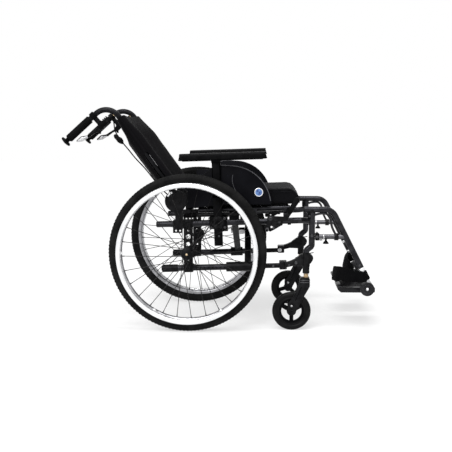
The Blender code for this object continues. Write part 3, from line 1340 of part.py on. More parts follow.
def make_seat():
    sling_bottom = RAIL_LEVEL + RAIL_RADIUS + GAP
    sling_top = sling_bottom + SLING_THICKNESS
    sling = seat_box(
        (RAIL_REAR + 0.005, -RAIL_Y - RAIL_RADIUS, sling_bottom),
        (RAIL_FRONT - 0.005, RAIL_Y + RAIL_RADIUS, sling_top),
    )
    add_piece("seat_sling", fuse([sling]), "brace_left", "seat_cloth")

    middle = (CUSHION_REAR + CUSHION_FRONT) / 2
    half_length = (CUSHION_FRONT - CUSHION_REAR) / 2
    bottom = sling_top + GAP

    def cushion_point(u, v, face):
        """Corners stand out a little, the sides draw in between them and the top is crowned."""
        u = math.copysign(1 - (1 - abs(u)) ** 1.6, u)
        v = math.copysign(1 - (1 - abs(v)) ** 1.6, v)
        length = half_length * (1 - 0.012 * (1 - v * v))
        width = CUSHION_HALF_WIDTH * (1 - 0.018 * (1 - u * u))
        crown = 0.008 * (1 - u * u) * (1 - v * v)
        front_drop = 0.006 * max(u - 0.7, 0) / 0.3
        top = bottom + CUSHION_THICKNESS - 0.006 + crown - front_drop
        above = bottom if face < -0.5 else (bottom + top) / 2 if face < 0.5 else top
        inset = 1.0 if abs(face) < 0.5 else 0.985
        return on_slope(middle + u * length * inset, v * width * inset, above)

    add_piece("cushion", fuse([padded(5, 5, cushion_point)]), "brace_left", "seat_cloth")

    def back_point(u, v, face):
        """The cloth hangs between the canes and closes round them, and its top edge is taut and thin."""
        share = (v + 1) / 2
        distance = BACK_START + (BACK_END - BACK_START) * share
        taut = max(share - 0.7, 0) / 0.3
        hollow = (1 - u * u) ** 2 * (1 - 0.85 * taut)
        front = BACK_FRONT * (1 - 0.45 * taut) - BACK_DISH * hollow
        behind = -BACK_BEHIND * (1 - 0.45 * taut) - BACK_SAG * hollow
        forward = behind if face < -0.5 else (front + behind) / 2 if face < 0.5 else front
        rounding = 1.0 if abs(face) < 0.5 else 0.985
        across = math.copysign(1 - (1 - abs(u)) ** 1.8, u)
        x, z = cane_point(distance, forward)
        return Vector((x, across * BACK_HALF_WIDTH * rounding, z))

    cuts = []
    for sign in (1, -1):
        start_x, start_z = cane_point(BACK_START - 0.03)
        end_x, end_z = cane_point(BACK_END + 0.03)
        cane_start = Vector((start_x, sign * CANE_Y, start_z))
        cane_end = Vector((end_x, sign * CANE_Y, end_z))
        cuts.append(rod(cane_start, cane_end, CANE_RADIUS + 0.0008, 12))
        slot_outline = [cane_point(distance, forward) for distance, forward in (
            (BACK_SLOT[0], -0.0105),
            (BACK_SLOT[1], -0.0105),
            (BACK_SLOT[1] + 0.010, 0.000),
            (BACK_SLOT[1], 0.0105),
            (BACK_SLOT[0], 0.0105),
        )]
        low, high = sorted((sign * (CANE_Y + 0.004), sign * (CANE_Y + 0.030)))
        cuts.append(plate(slot_outline, low, high))
    add_piece("back_upholstery", fuse([padded(5, 6, back_point)], cuts), "back_left", "seat_cloth")


def stand_on_origin():
    """Moves the chair so that the middle of its bounding box stands on the world origin."""
    bpy.context.view_layer.update()
    low = Vector((math.inf, math.inf, math.inf))
    high = -low
    for piece in parts.objects:
        if piece.type != "MESH":
            continue
        for vertex in piece.data.vertices:
            point = piece.matrix_world @ vertex.co
            low = Vector(map(min, low, point))
            high = Vector(map(max, high, point))
    root.location = (-(low.x + high.x) / 2, -(low.y + high.y) / 2, -low.z)
    print("moved by", [round(value, 5) for value in root.location], "size", [round(value, 4) for value in high - low])


make_materials()
make_axes()
make_wheels()
make_side_frames()
make_axle_plates()
make_castors()
make_cross_brace()
make_recline_brackets()
make_back_canes()
make_handles()
make_gas_springs()
make_cables()
make_armrests()
make_side_guards()
make_footrests()
make_brakes()
make_seat()
stand_on_origin()
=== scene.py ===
# Reclining wheelchair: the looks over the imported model, with a plain studio floor, light and camera.
# A piece is drawn in millimetres, X from the rear axle, Y to the chair's left, Z from the floor.
# addPiece brings it into the frame, which is in metres.

from math import acos, asin, atan2, copysign, cos, degrees, dist, pi, radians, sin, sqrt, tan

import bmesh
import bpy
from mathutils import Matrix, Vector, noise
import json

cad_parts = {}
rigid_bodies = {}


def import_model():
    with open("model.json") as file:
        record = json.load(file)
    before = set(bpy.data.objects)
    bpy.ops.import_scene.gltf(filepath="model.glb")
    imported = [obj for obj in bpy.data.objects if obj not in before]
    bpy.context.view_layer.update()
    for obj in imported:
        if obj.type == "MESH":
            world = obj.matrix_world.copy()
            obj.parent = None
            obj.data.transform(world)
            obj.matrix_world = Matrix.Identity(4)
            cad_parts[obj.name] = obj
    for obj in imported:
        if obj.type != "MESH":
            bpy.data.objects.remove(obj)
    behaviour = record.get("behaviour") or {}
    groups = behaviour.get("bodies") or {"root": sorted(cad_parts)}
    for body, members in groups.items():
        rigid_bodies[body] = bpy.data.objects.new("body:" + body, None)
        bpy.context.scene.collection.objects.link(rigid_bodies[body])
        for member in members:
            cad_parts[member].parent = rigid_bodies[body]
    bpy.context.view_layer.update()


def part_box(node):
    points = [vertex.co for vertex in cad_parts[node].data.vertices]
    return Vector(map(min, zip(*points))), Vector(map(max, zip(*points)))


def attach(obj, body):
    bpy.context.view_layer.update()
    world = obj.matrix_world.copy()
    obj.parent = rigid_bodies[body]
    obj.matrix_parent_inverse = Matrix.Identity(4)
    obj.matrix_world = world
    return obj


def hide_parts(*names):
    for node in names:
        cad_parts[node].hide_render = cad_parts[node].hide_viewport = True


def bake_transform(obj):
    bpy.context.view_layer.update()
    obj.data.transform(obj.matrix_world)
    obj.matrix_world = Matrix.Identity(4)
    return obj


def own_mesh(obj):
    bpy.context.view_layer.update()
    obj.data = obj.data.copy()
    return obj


for startupItem in list(bpy.data.objects):
    bpy.data.objects.remove(startupItem)

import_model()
scene = bpy.context.scene

tyreLow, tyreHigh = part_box("tyre_left")
toMetres = Matrix.Scale(0.001, 4)
toFrame = Matrix.Translation(((tyreLow.x + tyreHigh.x) / 2, 0, 0)) @ toMetres
slope = radians(1.9)
alongSeat = Vector((cos(slope), 0, sin(slope)))
aboveSeat = Vector((-sin(slope), 0, cos(slope)))
forward, side, up = Vector((1, 0, 0)), Vector((0, 1, 0)), Vector((0, 0, 1))

tubeY, postY, wheelY, railY, caneY = 205, 245, 280, 185, 201.5
upperLevel, lowerLevel, railLevel = 410.7, 234.9, 459.7  # over the floor, square to the seat's slope


# ---- places on the chair

def onSlope(x, y, above):
    return Vector((x, y, above / cos(slope) + x * tan(slope)))


caneFoot, caneCorner, caneEnd = Vector((-28.5, 0, 493)), Vector((-312, 0, 882)), Vector((-463, 0, 746.5))
caneLine = (caneCorner - caneFoot).normalized()
caneForward = Vector((caneLine.z, 0, -caneLine.x))
handleLine = (caneEnd - caneCorner).normalized()
handleDown = Vector((-handleLine.z, 0, handleLine.x))


def canePoint(along, ahead=0, y=caneY):
    return caneFoot + caneLine * along + caneForward * ahead + side * y


def handlePoint(along, below=0, y=caneY):
    return caneCorner + handleLine * along + handleDown * below + side * y


def flat(point):
    return point.x, point.z


hangerLevel, strutLevel, hangerCornerX = 472, 367, 554.4
hangerFoot = Vector((669, postY, 247))
hangerLine = (hangerFoot - Vector((hangerCornerX, postY, hangerLevel))).normalized()
pivot = Vector((-50, 0, 500))
lobeReach, reclineHalf = 60.5, radians(15)
lobePin = pivot + Vector((lobeReach * sin(reclineHalf), 0, -lobeReach * cos(reclineHalf)))


def gasLevel(x):
    stroke = 2 * lobeReach * sin(reclineHalf)
    drop = lobeReach * (1 - cos(reclineHalf)) / 2 - 0.75 * stroke * tan(slope)
    return lobePin.z - drop + (x - lobePin.x) * tan(slope)


# ---- mesh tools: each gives a closed mesh

def meshOf(bm, weld=0.0):
    if weld:
        bmesh.ops.remove_doubles(bm, verts=bm.verts, dist=weld)
        bmesh.ops.dissolve_degenerate(bm, edges=bm.edges, dist=weld)
    bmesh.ops.recalc_face_normals(bm, faces=bm.faces)
    mesh = bpy.data.meshes.new("drawn")
    bm.to_mesh(mesh)
    bm.free()
    return mesh


def together(meshes):
    bm = bmesh.new()
    for mesh in meshes:
        bm.from_mesh(mesh)
        bpy.data.meshes.remove(mesh)
    mesh = bpy.data.meshes.new("drawn")
    bm.to_mesh(mesh)
    bm.free()
    return mesh


def stood(data, name="drawn"):
    item = bpy.data.objects.new(name, data)
    scene.collection.objects.link(item)
    return item


def evaluated(item):
    bpy.context.view_layer.update()
    mesh = bpy.data.meshes.new_from_object(item.evaluated_get(bpy.context.evaluated_depsgraph_get()))
    bpy.data.objects.remove(item)
    return mesh


def worked(mesh, *modifiers):
    # the mesh after these modifiers, each given as its kind and its values
    item = stood(mesh)
    for kind, values in modifiers:
        modifier = item.modifiers.new(kind, kind)
        for key, value in values.items():
            if hasattr(modifier, key):
                setattr(modifier, key, value)
            else:
                modifier[key] = value
    made = evaluated(item)
    bpy.data.meshes.remove(mesh)
    return made


def shell(rings, closed=True, join=False):
    # faces between rings of points. join also ties the last ring to the first
    bm = bmesh.new()
    rings = [[bm.verts.new(point) for point in ring] for ring in rings]
    count = len(rings[0])
    for here, there in zip(rings, rings[1:] + (rings[:1] if join else [])):
        for k in range(count if closed else count - 1):
            bm.faces.new((here[k], here[(k + 1) % count], there[(k + 1) % count], there[k]))
    return bm, rings


def capped(rings):
    bm, rings = shell(rings)
    bm.faces.new(rings[0][::-1])
    bm.faces.new(rings[-1])
    return meshOf(bm)


def turns(count, begin=0.0):
    return [begin + 2 * pi * k / count for k in range(count)]


def lathe(profile, origin, axis, steps=48):
    # profile holds (radius, distance along the axis), and is a closed loop unless it starts on the axis
    turn = Vector(axis).to_track_quat("Z", "Y").to_matrix()
    rings = [[Vector(origin) + turn @ Vector((r * cos(t), r * sin(t), a)) for r, a in profile] for t in turns(steps)]
    return meshOf(shell(rings, profile[0][0] > 0, True)[0], 1e-3)


def both(half):
    # a profile and its mirror image across the wheel's middle
    return half + [(r, -a) for r, a in reversed(half)]


def tube(points, radius, sides=18, soften=1.2):
    # a round bar along the points, with softened ends. radius may be a list, one for each point
    points = [Vector(p) for p in points]
    radii = list(radius) if hasattr(radius, "__len__") else [radius] * len(points)
    if soften:
        soften = min(soften, radii[0] * 0.45, radii[-1] * 0.45)
        first, last = (points[1] - points[0]).normalized(), (points[-2] - points[-1]).normalized()
        points = [points[0], points[0] + first * soften, *points[1:-1], points[-1] + last * soften, points[-1]]
        radii = [radii[0] - soften, radii[0], *radii[1:-1], radii[-1], radii[-1] - soften]
    normal, rings = None, []
    for i, point in enumerate(points):
        heading = (points[min(i + 1, len(points) - 1)] - points[max(i - 1, 0)]).normalized()
        normal = heading.orthogonal() if normal is None else normal - heading * normal.dot(heading)
        normal.normalize()
        across = heading.cross(normal)
        rings.append([point + (normal * cos(t) + across * sin(t)) * radii[i] for t in turns(sides)])
    return capped(rings)


def bar(start, end, radius, sides=18, soften=0.6):
    return tube([start, end], radius, sides, soften)


def bolt(spot, outward, r=5.5, h=4.0):
    # a hexagon head with a hollow, on a washer
    washer = lathe([(0, 0), (r * 1.35, 0), (r * 1.35, h * 0.22), (r * 1.2, h * 0.3), (0, h * 0.3)], spot, outward, 24)
    head = lathe([(0, h * 0.25), (r, h * 0.25), (r, h * 0.85), (r * 0.88, h), (r * 0.55, h), (r * 0.5, h * 0.45),
                  (0, h * 0.45)], spot, outward, 6)
    return together([washer, head])


def bolts(*rows):
    return [bolt(spot, side, r, h) for spot, r, h in rows]


def bendPath(corners, radius, steps=10):
    corners = [Vector(c) for c in corners]
    points = [corners[0]]
    for before, corner, after in zip(corners, corners[1:], corners[2:]):
        toBefore, toAfter = (before - corner).normalized(), (after - corner).normalized()
        half = toBefore.angle(toAfter) / 2
        middle = corner + (toBefore + toAfter).normalized() * radius / sin(half)
        first = corner + toBefore * radius / tan(half) - middle
        last = corner + toAfter * radius / tan(half) - middle
        points += [middle + first.slerp(last, k / steps).normalized() * radius for k in range(steps + 1)]
    return points + [corners[-1]]


def smoothPath(points, spacing):
    # even steps on a smooth curve through the points, which may carry more than three values
    samples = []
    for i in range(len(points) - 1):
        a, b, c, d = points[max(i - 1, 0)], points[i], points[i + 1], points[min(i + 2, len(points) - 1)]
        for t in (k / 16 for k in range(16)):
            samples.append(0.5 * (2 * b + (c - a) * t + (2 * a - 5 * b + 4 * c - d) * t * t
                                  + (3 * b - a - 3 * c + d) * t ** 3))
    samples.append(points[-1])
    path = [samples[0]]
    for sample in samples:
        if (sample - path[-1]).length >= spacing:
            path.append(sample)
    path[-1] = samples[-1]
    return path


def atY(y, *points):
    return [Vector((x, y, z)) for x, z in points]


def arc(x, z, radius, start, end, steps=12):
    angles = [radians(start + (end - start) * k / steps) for k in range(steps + 1)]
    return [(x + radius * cos(a), z + radius * sin(a)) for a in angles]


def ring(x, z, radius, steps=32):
    return arc(x, z, radius, 0, 360, steps)[:-1]


def linkShape(first, firstRadius, second, secondRadius, steps=10):
    heading = degrees(atan2(second[1] - first[1], second[0] - first[0]))
    lean = degrees(acos((firstRadius - secondRadius) / dist(first, second)))
    return (arc(*second, secondRadius, heading - lean, heading + lean, steps)
            + arc(*first, firstRadius, heading + lean, heading + 360 - lean, steps))


def sheetMetal(outline, low, high, holes=(), soften=0.7):
    # a flat plate square to Y, with rounded edges
    curve = bpy.data.curves.new("outline", "CURVE")
    curve.dimensions, curve.fill_mode = "2D", "BOTH"
    curve.extrude = (high - low) / 2 - soften
    curve.bevel_depth, curve.bevel_resolution, curve.offset = soften, 1, -soften
    for loop in [outline, *holes]:
        spline = curve.splines.new("POLY")
        spline.points.add(len(loop) - 1)
        for point, (x, z) in zip(spline.points, loop):
            point.co = (x, z, 0, 1)
        spline.use_cyclic_u = True
    mesh = evaluated(stood(curve))
    bm = bmesh.new()
    bm.from_mesh(mesh)
    bpy.data.meshes.remove(mesh)
    bm.transform(Matrix.Translation((0, (low + high) / 2, 0)) @ Matrix.Rotation(pi / 2, 4, "X"))
    return meshOf(bm, 2e-3)


def block(low, high, soften=1.5, segments=2, tilt=False):
    # a box with rounded edges, tilted with the seat where asked
    low, high = Vector(low), Vector(high)
    bm = bmesh.new()
    bmesh.ops.create_cube(bm, size=1)
    bm.transform(Matrix.Diagonal((*(high - low), 1)))
    bmesh.ops.bevel(bm, geom=bm.edges, offset=soften, segments=segments, affect="EDGES", profile=0.5)
    middle = (low + high) / 2
    if tilt:
        bm.transform(Matrix.Translation(onSlope(*middle)) @ Matrix.Rotation(-slope, 4, "Y"))
    else:
        bm.transform(Matrix.Translation(middle))
    return meshOf(bm)


def sloped(low, high, soften=1.5, segments=2):
    return block(low, high, soften, segments, True)


def tubeClamp(draw, rear, front, level, reach, inside=12.6, wall=4.0, soften=1.2):
    # a wall behind a tube, and an arm over and under it
    inner, outside = 189.2, 15.8
    arms = [draw((rear, inner, level + low), (front, reach, level + high), 1)
            for low, high in ((-outside, -inside), (inside, outside))]
    return [draw((rear, inner, level - outside), (front, inner + wall, level + outside), soften), *arms]


def boxed(value, power):
    return copysign(abs(value) ** power, value)


# ---- Geometry Nodes for what repeats

def addNodes(tree, *kinds):
    return [tree.nodes.new(kind) for kind in kinds]


def wire(tree, *pairs):
    for source, target in pairs:
        tree.links.new(source, target)


def copyTree(name, *inputs):
    # the common part: copies of something, made real and given their finish
    tree = bpy.data.node_groups.new(name, "GeometryNodeTree")
    for socket, kind in (("Geometry", "Geometry"), *inputs, ("Finish", "Material")):
        tree.interface.new_socket(name=socket, in_out="INPUT", socket_type="NodeSocket" + kind)
    tree.interface.new_socket(name="Geometry", in_out="OUTPUT", socket_type="NodeSocketGeometry")
    given, out, copies, realize, finish = addNodes(
        tree, "NodeGroupInput", "NodeGroupOutput", "GeometryNodeInstanceOnPoints", "GeometryNodeRealizeInstances",
        "GeometryNodeSetMaterial")
    wire(tree, (copies.outputs[0], realize.inputs[0]), (realize.outputs[0], finish.inputs["Geometry"]),
         (given.outputs["Finish"], finish.inputs["Material"]), (finish.outputs[0], out.inputs[0]))
    return tree, given.outputs, copies.inputs


# copies of the drawn mesh, turned about the Y axis
roundTree, given, copies = copyTree("repeatRound", ("Count", "Int"), ("Start Angle", "Float"))
points, index, share, turn, angle, euler, rotation = addNodes(
    roundTree, "GeometryNodePoints", "GeometryNodeInputIndex", "ShaderNodeMath", "ShaderNodeMath", "ShaderNodeMath",
    "ShaderNodeCombineXYZ", "FunctionNodeEulerToRotation")
share.operation, turn.operation, angle.operation = "DIVIDE", "MULTIPLY", "ADD"
turn.inputs[1].default_value = 2 * pi
wire(roundTree, (given["Count"], points.inputs["Count"]), (index.outputs[0], share.inputs[0]),
     (given["Count"], share.inputs[1]), (share.outputs[0], turn.inputs[0]), (turn.outputs[0], angle.inputs[0]),
     (given["Start Angle"], angle.inputs[1]), (angle.outputs[0], euler.inputs["Y"]),
     (euler.outputs[0], rotation.inputs[0]), (points.outputs[0], copies["Points"]),
     (given["Geometry"], copies["Instance"]), (rotation.outputs[0], copies["Rotation"]))

# copies of another object, along the drawn line
alongTree, given, copies = copyTree("repeatAlong", ("Copy", "Object"), ("Count", "Int"))
line, spots, source = addNodes(alongTree, "GeometryNodeMeshToCurve", "GeometryNodeCurveToPoints",
                               "GeometryNodeObjectInfo")
spots.mode = "COUNT"
wire(alongTree, (given["Geometry"], line.inputs[0]), (line.outputs[0], spots.inputs[0]),
     (given["Count"], spots.inputs["Count"]), (spots.outputs["Points"], copies["Points"]),
     (given["Copy"], source.inputs[0]), (source.outputs["Geometry"], copies["Instance"]),
     (spots.outputs["Rotation"], copies["Rotation"]))


def runTree(mesh, tree, values):
    sockets = {s.name: s.identifier for s in tree.interface.items_tree if s.in_out == "INPUT"}
    return worked(mesh, ("NODES", {"node_group": tree, **{sockets[name]: value for name, value in values.items()}}))


def around(mesh, count, centre, look, begin=0.0):
    made = runTree(mesh, roundTree, {"Count": count, "Start Angle": begin, "Finish": looks[look]})
    made.transform(Matrix.Translation(centre))
    return made


def alongLine(points, copy, count, look):
    line = bpy.data.meshes.new("line")
    line.from_pydata([tuple(p) for p in points], [(i, i + 1) for i in range(len(points) - 1)], [])
    item = stood(copy)
    made = runTree(line, alongTree, {"Copy": item, "Count": count, "Finish": looks[look]})
    bpy.data.objects.remove(item)
    return made


# ---- finishes

finishes = {
    # slot, darker and lighter tone in thousandths, scale of the patches, least and most rough, metallic, specular,
    # then the grain's scale and height, or the weave's scale and the sheen
    "framePaint": ("frame_paint", (14, 14, 16), (34, 34, 38), 35, (0.24, 0.36), 0.8, 0.2, (1400, 0.05)),
    # the frame paint made darker for the canes: painted shade
    "shadedFramePaint": ("frame_paint", (3.5, 3.5, 4.2), (9.5, 9.5, 11), 40, (0.22, 0.32), 0.5, 0.12, (1400, 0.05)),
    # the frame paint made lighter for the strut: painted light on it; the foot disc's marks take the same pale grey
    "litStrutAndMarkPaint": ("frame_paint", (70, 70, 76), (120, 120, 130), 40, (0.24, 0.36), 0.8, 0.2, (1400, 0.05)),
    "blackPlastic": ("black_plastic", (0.8, 0.8, 1), (3, 3, 3.6), 28, (0.36, 0.5), 0, 0.045, (900, 0.12)),
    "guardPlastic": ("black_plastic", (2, 2, 3), (4.4, 4.5, 6.2), 14, (0.34, 0.46), 0, 0.04, (700, 0.1)),
    "softPlastic": ("soft_plastic", (0.8, 0.8, 1), (3.4, 3.4, 3.8), 40, (0.4, 0.55), 0, 0.05, (500, 0.22)),
    "blackMetal": ("black_metal", (4, 4, 4.5), (13, 13, 14), 45, (0.3, 0.46), 0.4, 0.09, (1100, 0.1)),
    "clampMetal": ("black_metal", (1.2, 1.2, 1.4), (17, 17, 18), 170, (0.35, 0.6), 0.4, 0.06, (260, 0.35)),
    "brightMetal": ("bright_metal", (780, 790, 800), (920, 920, 930), 18, (0.14, 0.26), 0.75, 0.5, (600, 0.02)),
    "rimMetal": ("bright_metal", (260, 260, 270), (460, 460, 480), 25, (0.24, 0.38), 1, 0.5, (600, 0.04)),
    "spokeSteel": ("steel", (4, 4, 4.2), (14, 13, 13), 60, (0.25, 0.4), 0.9, 0.5, (900, 0.03)),
    "steel": ("steel", (300, 300, 310), (580, 580, 590), 50, (0.2, 0.34), 1, 0.5, (900, 0.05)),
    "darkSteel": ("steel", (35, 35, 37), (95, 95, 100), 70, (0.25, 0.4), 0.9, 0.5, (900, 0.05)),
    "brass": ("steel", (460, 330, 190), (660, 520, 340), 60, (0.25, 0.4), 0.9, 0.5, (900, 0.04)),
    "tyreRubber": ("tyre_rubber", (4.6, 4.6, 4.8), (11.2, 11.1, 11), 22, (0.55, 0.72), 0, 0.05, (420, 0.25)),
    "castorRubber": ("tyre_rubber", (2.4, 2.4, 2.6), (6.5, 6.4, 6.4), 30, (0.38, 0.5), 0, 0.09, (420, 0.15)),
    "seatCloth": ("seat_cloth", (3, 3, 3.6), (8.5, 8.5, 9.8), 16, (0.8, 0.95), 0, 0.03, None, (150, 0.07)),
    "backCloth": ("seat_cloth", (1, 0.9, 1.2), (6.2, 5.8, 6.8), 12, (0.75, 0.92), 0, 0.03, None, (120, 0.04)),
    "strapCloth": ("seat_cloth", (0.8, 0.8, 1), (4, 4, 4.4), 50, (0.8, 0.95), 0, 0.03, None, (170, 0.03)),
    "thread": ("seat_cloth", (10, 10, 12), (20, 20, 23), 90, (0.7, 0.85), 0, 0.1, None, (400, 0.05)),
    # a pale tone on black plastic: painted highlight along the guard's edge and groove
    "pipingHighlight": ("black_plastic", (45, 45, 50), (95, 95, 105), 40, (0.3, 0.45), 0, 0.3, (800, 0.05)),
    "plateGrey": ("plate_grey", (4, 4, 5), (15, 15, 17), 30, (0.3, 0.46), 0, 0.2, (480, 0.3)),
    "badge": ("bright_metal", (10, 32, 170), (100, 220, 500), 120, (0.2, 0.3), 0, 0.5, (700, 0.02)),
}


def setInputs(node, **values):
    for name, value in values.items():
        node.inputs[name.replace("_", " ")].default_value = value


def makeFinish(name, dark, light, patch, rough, metallic, specular, grain, weave=(0, 0)):
    material = bpy.data.materials.new(name)
    material.use_nodes = True
    tree = material.node_tree
    shader = tree.nodes["Principled BSDF"]
    setInputs(shader, Metallic=metallic, Specular_IOR_Level=specular, Coat_Weight=0.3 if name == "badge" else 0,
              Sheen_Weight=weave[1], Sheen_Roughness=0.4)
    coords, patches, tones, roughness, bump = addNodes(tree, "ShaderNodeTexCoord", "ShaderNodeTexNoise",
                                                       "ShaderNodeMix", "ShaderNodeMapRange", "ShaderNodeBump")
    setInputs(patches, Scale=patch, Detail=5)
    tones.data_type = "RGBA"
    setInputs(tones, A=(*[t / 1000 for t in dark], 1), B=(*[t / 1000 for t in light], 1))
    setInputs(roughness, From_Min=0.3, From_Max=0.7, To_Min=rough[0], To_Max=rough[1])
    places, patchiness = coords.outputs["Object"], patches.outputs["Fac"]
    wire(tree, (places, patches.inputs["Vector"]), (patchiness, roughness.inputs["Value"]),
         (roughness.outputs[0], shader.inputs["Roughness"]), (tones.outputs["Result"], shader.inputs["Base Color"]),
         (bump.outputs[0], shader.inputs["Normal"]))
    # how far the tone goes from dark to light: the random patches, and in cloth also painted shade between the threads
    toneAndGapShade, = addNodes(tree, "ShaderNodeMapRange")
    wire(tree, (toneAndGapShade.outputs[0], tones.inputs["Factor"]))
    if grain:
        fine, = addNodes(tree, "ShaderNodeTexNoise")
        setInputs(fine, Scale=grain[0], Detail=2)
        setInputs(bump, Distance=0.0005, Strength=grain[1])
        setInputs(toneAndGapShade, From_Min=0.35, From_Max=0.65)
        wire(tree, (places, fine.inputs["Vector"]), (fine.outputs["Fac"], bump.inputs["Height"]),
             (patchiness, toneAndGapShade.inputs["Value"]))
        return material
    # three crossed bands make a thread pattern on a face of any direction; their height times the patches sets the
    # tone, so the gaps between threads get painted shade
    bands = addNodes(tree, *["ShaderNodeTexWave"] * 3)
    pairSum, total, height, gapShade = addNodes(tree, *["ShaderNodeMath"] * 4)
    for band, direction, socket in zip(bands, "XYZ", (pairSum.inputs[0], pairSum.inputs[1], total.inputs[1])):
        band.bands_direction = direction
        setInputs(band, Scale=weave[0], Distortion=1.2, Detail=1)
        wire(tree, (places, band.inputs["Vector"]), (band.outputs["Fac"], socket))
    height.operation = gapShade.operation = "MULTIPLY"
    height.inputs[1].default_value = 0.333
    setInputs(toneAndGapShade, From_Max=0.5)
    setInputs(bump, Distance=0.0006, Strength=0.7)
    wire(tree, (pairSum.outputs[0], total.inputs[0]), (total.outputs[0], height.inputs[0]),
         (height.outputs[0], gapShade.inputs[0]), (patchiness, gapShade.inputs[1]),
         (gapShade.outputs[0], toneAndGapShade.inputs["Value"]), (height.outputs[0], bump.inputs["Height"]))
    return material


looks = {name: makeFinish(name, *row[1:]) for name, row in finishes.items()}


def addPiece(name, mesh, look, body, nodes=(), angle=38):
    # mesh may be a list of meshes. angle is the sharpest edge that is still shaded smooth
    mesh = together(mesh) if isinstance(mesh, list) else mesh
    mesh.transform(toFrame)
    mesh.name = name
    mesh.materials.clear()
    mesh.materials.append(looks[look])
    mesh.shade_smooth()
    if angle:
        mesh.set_sharp_from_angle(angle=radians(angle))
    piece = stood(mesh, name)
    if body:
        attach(piece, body)
    if nodes:
        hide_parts(*nodes)
    return piece


def addPair(name, mesh, look, body, node=None, angle=38):
    # the left piece as drawn, and its mirror image on the right
    mesh = together(mesh) if isinstance(mesh, list) else mesh
    mirrored = mesh.copy()
    mirrored.transform(Matrix.Diagonal((1, -1, 1, 1)))
    mirrored.flip_normals()
    return [addPiece(f"{name}_{end}", drawn, look, f"{body}_{end}", [f"{node}_{end}"] if node else (), angle)
            for end, drawn in (("left", mesh), ("right", mirrored))]


# ---- camera, light and floor

camera = stood(bpy.data.cameras.new("camera"), "camera")
camera.location = (0.1753, -3.4892, 0.7941)
camera.rotation_euler = (radians(90 - 6.809), 0, radians(2.592))
camera.data.sensor_width = 36
camera.data.lens = 67.34
scene.camera = camera
scene.view_settings.view_transform = "Standard"

studio = {"sky": 0.62, "floorShare": 0.5, "glow": 1.1}


def addLamp(name, kind, spot, target, **values):
    lamp = stood(bpy.data.lights.new(name, kind), name)
    for key, value in values.items():
        setattr(lamp.data, key, value)
    lamp.location = spot
    lamp.rotation_euler = (Vector(target) - lamp.location).to_track_quat("-Z", "Y").to_euler()
    return lamp


sun = addLamp("sun", "SUN", (0, 0, 0), (0, 0, -1), energy=1.7, angle=radians(40))
sun.rotation_euler = (radians(38), radians(-16), 0)
addLamp("frontLamp", "AREA", (-0.9, -2.5, 1.6), (0, 0, 0.45), energy=10, size=0.5)
addLamp("topLamp", "AREA", (0.15, -0.8, 2.6), (0.15, 0, 0.5), shape="RECTANGLE", energy=26, size=1.8, size_y=0.35)


def seenLevel(tree, low, high):
    # high where the camera, a reflection or a clear piece looks, and low for scattered light
    rays, direct, clear, level = addNodes(tree, "ShaderNodeLightPath", "ShaderNodeMath", "ShaderNodeMath",
                                          "ShaderNodeMapRange")
    direct.operation = clear.operation = "MAXIMUM"
    setInputs(level, To_Min=low, To_Max=high)
    wire(tree, (rays.outputs["Is Camera Ray"], direct.inputs[0]), (rays.outputs["Is Glossy Ray"], direct.inputs[1]),
         (direct.outputs[0], clear.inputs[0]), (rays.outputs["Is Transmission Ray"], clear.inputs[1]),
         (clear.outputs[0], level.inputs["Value"]))
    return level.outputs[0]


sky = bpy.data.worlds.new("studio")
scene.world = sky
sky.use_nodes = True
background = sky.node_tree.nodes["Background"]
setInputs(background, Color=(1, 1, 1, 1))
wire(sky.node_tree, (seenLevel(sky.node_tree, studio["sky"], 1.0), background.inputs["Strength"]))

floorMaterial = bpy.data.materials.new("floorPaper")
floorMaterial.use_nodes = True
floorTree = floorMaterial.node_tree
paper = floorTree.nodes["Principled BSDF"]
setInputs(paper, Base_Color=(0.9, 0.9, 0.9, 1), Roughness=0.95, Specular_IOR_Level=0.0)
glow, mixer = addNodes(floorTree, "ShaderNodeEmission", "ShaderNodeMixShader")
setInputs(glow, Strength=studio["glow"])
wire(floorTree, (seenLevel(floorTree, 0.0, studio["floorShare"]), mixer.inputs[0]), (paper.outputs[0], mixer.inputs[1]),
     (glow.outputs[0], mixer.inputs[2]), (mixer.outputs[0], floorTree.nodes["Material Output"].inputs["Surface"]))
floorMesh = bpy.data.meshes.new("floor")
floorMesh.from_pydata([(-15, -15, 0), (15, -15, 0), (15, 15, 0), (-15, 15, 0)], [], [(0, 1, 2, 3)])
floorMesh.materials.append(floorMaterial)
floor = stood(floorMesh, "floor")
print("studio ready")

# ---- release cables: the route is the CAD one

cable = {"radius": 2.4, "y": 204.5, "route": (
    (-305.5, 820), (-299, 820), (-293.5, 813), (-290.5, 799), (-288.5, 780), (-282, 761), (-271, 743),
    (-254.2, 721.5), (-231.5, 694.5), (-210, 667.5), (-170.5, 625), (-138, 584), (-107.5, 548), (-86, 526), (-68, 517)),
    "joiner": ((-290.5, 756), (-283, 750), (-277, 743), (-270, 737), (-262, 729), (-256, 721.5)),
    "joinerRadii": (4.5, 9.5, 8.8, 11.5, 9.5, 3.4)}
for end, sign in (("left", 1), ("right", -1)):
    route = smoothPath(atY(sign * cable["y"], *cable["route"]), 8)
    line = tube(route, cable["radius"], 12, 0)
    line = addPiece(f"cableLine_{end}", line, "softPlastic", f"back_{end}", [f"cable_{end}"])
    route = [toFrame @ p for p in route]
    joiner = tube(atY(sign * cable["y"], *cable["joiner"]), cable["joinerRadii"], 14, 0.8)
    joiner = addPiece(f"cableJoiner_{end}", joiner, "softPlastic", f"back_{end}")
print("cables ready")

# ---- driving wheels

